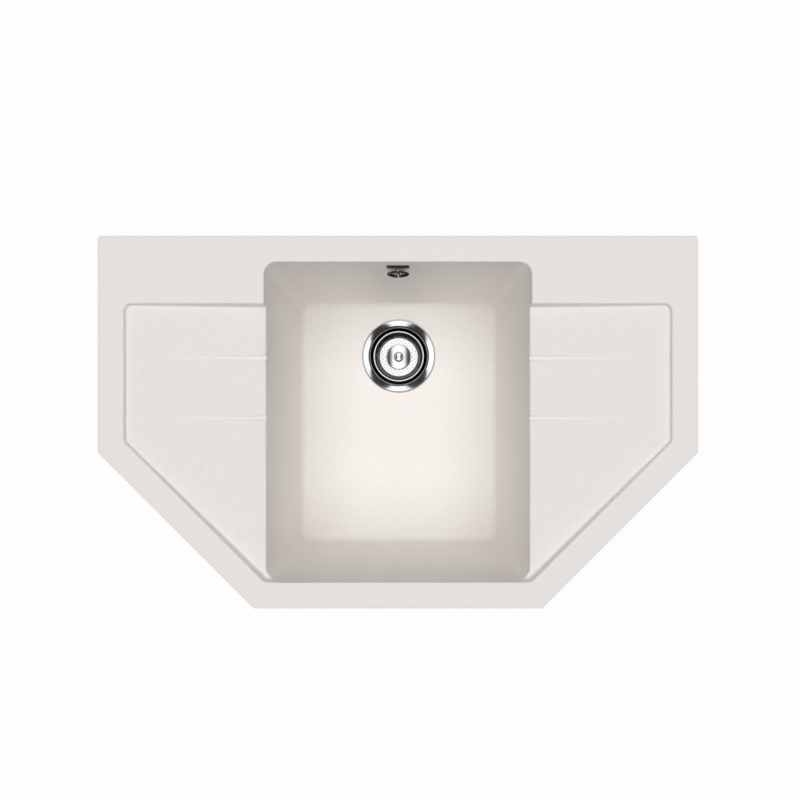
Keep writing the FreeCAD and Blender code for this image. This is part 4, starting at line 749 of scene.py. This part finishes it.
# %% A tree that ribs a tube
hose_low, hose_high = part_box("overflow_hose")
CREST, VALLEY, BORE, CUFF, BEND, RIB_PITCH = 10.0, 8.7, 7.5, 20.0, 39.0, 4.0
ROUND_HANDLE = 0.5523  # a Bezier handle's share of the radius that makes a quarter circle


def hose_route():
    """The hose's middle line as a curve: a run down, a quarter bend, and a run to the waste."""
    top_y = hose_high.y - CREST * MM
    foot_z = hose_low.z + CREST * MM
    bend = BEND * MM
    down, forward = Vector((0, 0, -1)), Vector((0, -1, 0))
    runs = [(Vector((0, top_y, hose_high.z)), down), (Vector((0, top_y, foot_z + bend)), down),
            (Vector((0, top_y - bend, foot_z)), forward), (Vector((0, hose_low.y, foot_z)), forward)]
    line = bpy.data.curves.new("hose_route", "CURVE")
    line.dimensions = "3D"
    line.resolution_u = 64
    points = line.splines.new("BEZIER").bezier_points
    points.add(len(runs) - 1)
    for number, (point, (spot, way)) in enumerate(zip(points, runs)):
        pull = ROUND_HANDLE * bend
        point.co = spot
        point.handle_left_type = point.handle_right_type = "FREE"
        point.handle_left = spot - way * (pull if number == 2 else RIB_PITCH * MM)
        point.handle_right = spot + way * (pull if number == 1 else RIB_PITCH * MM)
    route = bpy.data.objects.new("hose_route", line)
    scene.collection.objects.link(route)
    return route


def rib_tree():
    """A tree that sweeps a tube along a curve, with ribs between two smooth cuffs."""
    tree = new_tree("rib a tube", {
        "Geometry": ("Geometry", None), "Crest": ("Float", 0.01), "Valley": ("Float", 0.009),
        "Bore": ("Float", 0.007), "Cuff": ("Float", 0.02), "Ribs": ("Float", 30.0),
        "Material": ("Material", None)})
    given = add_node(tree, "NodeGroupInput").outputs
    line = add_node(tree, "GeometryNodeResampleCurve", {"mode": "LENGTH"}, Curve=given["Geometry"],
                    Length=0.4 * MM)
    along = add_node(tree, "GeometryNodeSplineParameter").outputs["Length"]
    whole = add_node(tree, "GeometryNodeSplineLength").outputs["Length"]
    last = add_node(tree, "ShaderNodeMath", {"operation": "SUBTRACT"}, i0=whole, i1=given["Cuff"])
    turns = add_node(tree, "ShaderNodeMath", {"operation": "MULTIPLY"}, i0=given["Ribs"], i1=math.tau)
    phase = add_node(tree, "ShaderNodeMapRange", Value=along, From_Min=given["Cuff"], From_Max=last,
                     To_Max=turns)
    wave = add_node(tree, "ShaderNodeMath", {"operation": "COSINE"}, i0=phase)
    radius = add_node(tree, "ShaderNodeMapRange", Value=wave, From_Min=-1.0, To_Min=given["Valley"],
                      To_Max=given["Crest"])
    circle = add_node(tree, "GeometryNodeCurvePrimitiveCircle", Resolution=48, Radius=1.0)
    outer = add_node(tree, "GeometryNodeCurveToMesh", Curve=line, Profile_Curve=circle, Scale=radius,
                     Fill_Caps=True)
    inner = add_node(tree, "GeometryNodeCurveToMesh", Curve=line, Profile_Curve=circle,
                     Scale=given["Bore"], Fill_Caps=True)
    bored = add_node(tree, "GeometryNodeMeshBoolean", {"operation": "DIFFERENCE", "solver": "EXACT"},
                     Mesh_1=outer, Mesh_2=inner)
    real = add_node(tree, "GeometryNodeRealizeInstances", Geometry=bored)
    done = add_node(tree, "GeometryNodeSetMaterial", Geometry=real, Material=given["Material"])
    add_node(tree, "NodeGroupOutput", Geometry=done)
    return tree


route = hose_route()
ribbed_mm = route.data.splines[0].calc_length() / MM - 2 * CUFF
mesh = run_tree(route, rib_tree(), {"Crest": CREST * MM, "Valley": VALLEY * MM, "Bore": BORE * MM,
                                    "Cuff": CUFF * MM, "Ribs": float(round(ribbed_mm / RIB_PITCH)),
                                    "Material": HOSE})
bpy.data.objects.remove(route)
hose = bpy.data.objects.new("overflow_hose_finish", mesh)
scene.collection.objects.link(hose)
dress(hose, "overflow_hose", 40)
print("hose", len(mesh.polygons), "faces,", round(ribbed_mm + 2 * CUFF, 1), "mm long")

# %% [markdown]
# ## Floor and background
# The photograph shows the sink alone on white, from straight above. A pale floor lies under the
# outlet. It glows a little to the camera only, so that it reads as white and keeps a faint shadow.

# %% Floor and world
FLOOR_SIZE, FLOOR_GLOW = 30.0, 0.93


def pale_floor():
    """A pale matt material that glows to the camera only."""
    made = new_material("pale studio floor")
    tree = made.node_tree
    diffuse = add_node(tree, "ShaderNodeBsdfDiffuse", Color=linear("#FAFAFA"))
    glow = add_node(tree, "ShaderNodeEmission", Color=linear("#FFFFFF"), Strength=1.0)
    path = add_node(tree, "ShaderNodeLightPath")
    share = add_node(tree, "ShaderNodeMath", {"operation": "MULTIPLY"},
                     i0=path.outputs["Is Camera Ray"], i1=FLOOR_GLOW)
    blend = add_node(tree, "ShaderNodeMixShader", i0=share, i1=diffuse, i2=glow)
    add_node(tree, "ShaderNodeOutputMaterial", Surface=blend)
    return made


floor = bpy.data.objects.new("floor", bpy.data.meshes.new("floor"))
half = FLOOR_SIZE / 2
floor.data.from_pydata([(-half, -half, 0), (half, -half, 0), (half, half, 0), (-half, half, 0)], [],
                       [(0, 1, 2, 3)])
floor.data.transform(Matrix.Translation((0, 0, cad_box[0].z - 0.2 * MM)))
floor.data.materials.append(pale_floor())
scene.collection.objects.link(floor)

AMBIENT, MIRRORED = 0.14, 0.06
world = bpy.data.worlds.new("studio")
scene.world = world
world.use_nodes = True
tree = world.node_tree
tree.nodes.clear()
path = add_node(tree, "ShaderNodeLightPath")
white = add_node(tree, "ShaderNodeMath", {"operation": "MAXIMUM"}, i0=path.outputs["Is Camera Ray"],
                 i1=path.outputs["Is Transmission Ray"])
unlit = add_node(tree, "ShaderNodeMapRange", Value=path.outputs["Is Glossy Ray"], To_Min=AMBIENT,
                 To_Max=MIRRORED)
level = add_node(tree, "ShaderNodeMapRange", Value=white, To_Min=unlit, To_Max=1.0)
sky = add_node(tree, "ShaderNodeBackground", Color=linear("#FFFFFF"), Strength=level)
add_node(tree, "ShaderNodeOutputWorld", Surface=sky)
print("floor at", round(cad_box[0].z, 4))

# %% [markdown]
# ## Light
# The walls of the bowl are lit mostly by what its floor throws back, which is why they are darkest
# under the rim. A wide soft light from above does that. The chrome needs something to mirror, so
# three pale panels hang over the strainer, one in the middle and one on each side, with dark gaps
# between them. They are seen in mirrors only, and light nothing.

# %% Lamp and panels
def sun(name, strength, angle, direction):
    """A soft distant lamp that mirrors don't show."""
    lamp = bpy.data.lights.new(name, "SUN")
    lamp.energy = strength
    lamp.angle = math.radians(angle)
    made = bpy.data.objects.new(name, lamp)
    made.rotation_mode = "QUATERNION"
    made.rotation_quaternion = Vector(direction).to_track_quat("Z", "Y")
    made.visible_glossy = False
    scene.collection.objects.link(made)


def panel(name, left, right, front, rear, strength, height=2.0):
    """A glowing panel over the strainer, with its edges in mm from the strainer's axis."""
    x0, x1, y0, y1 = (edge * MM for edge in (left, right, front, rear))
    made = bpy.data.objects.new(name, bpy.data.meshes.new(name))
    made.data.from_pydata([(x0, y0, 0), (x1, y0, 0), (x1, y1, 0), (x0, y1, 0)], [], [(3, 2, 1, 0)])
    made.data.transform(Matrix.Translation(DRAIN + Vector((0, 0, height))))
    glow = new_material(f"{name} glow")
    light = add_node(glow.node_tree, "ShaderNodeEmission", Color=linear("#FFFFFF"), Strength=strength)
    add_node(glow.node_tree, "ShaderNodeOutputMaterial", Surface=light)
    made.data.materials.append(glow)
    made.visible_camera = made.visible_diffuse = False
    made.visible_transmission = made.visible_shadow = False
    scene.collection.objects.link(made)


sun("overhead", 2.2, 72, (0.0, 0.02, 1))
# The camera stands a little right of the strainer, so a level mirror there shows what hangs a little
# left of it. The panels are moved by that much to look centred.
PANEL, MIDDLE_AT, MIDDLE_HALF, SIDE_FROM, SIDE_TO = 2.15, -10.8, 44, 92, 320
MIDDLE_FRONT, MIDDLE_REAR, SIDE_FRONT, SIDE_REAR = -90, 500, 119, 275
panel("middle panel", MIDDLE_AT - MIDDLE_HALF, MIDDLE_AT + MIDDLE_HALF, MIDDLE_FRONT, MIDDLE_REAR,
      PANEL)
panel("left panel", MIDDLE_AT - SIDE_TO, MIDDLE_AT - SIDE_FROM, SIDE_FRONT, SIDE_REAR, PANEL)
panel("right panel", MIDDLE_AT + SIDE_FROM, MIDDLE_AT + SIDE_TO, SIDE_FRONT, SIDE_REAR, PANEL)
print("panels glow at", PANEL, "and the world at", AMBIENT)

# %% [markdown]
# ## Camera
# The picture is taken from straight above. The camera's height follows from how much smaller the
# bowl's floor looks than its rim, and its place from how far the floor looks shifted. The lens's
# shift puts the sink where the picture has it.

# %% Camera
CAMERA_HEIGHT, LENS, SENSOR, PICTURE = 0.8687, 30.15, 36.0, 800
ASIDE, SHIFT_X_PX, SHIFT_Y_PX = 0.0057, -2.3, 22.1
camera = bpy.data.objects.new("camera", bpy.data.cameras.new("camera"))
camera.data.lens = LENS
camera.data.sensor_width = SENSOR
camera.data.shift_x = SHIFT_X_PX / PICTURE
camera.data.shift_y = SHIFT_Y_PX / PICTURE
camera.location = (ASIDE, 0, deck_top + CAMERA_HEIGHT)
scene.collection.objects.link(camera)
scene.camera = camera
scene.view_settings.view_transform = "Standard"
print("camera at", round(camera.location.z, 3))
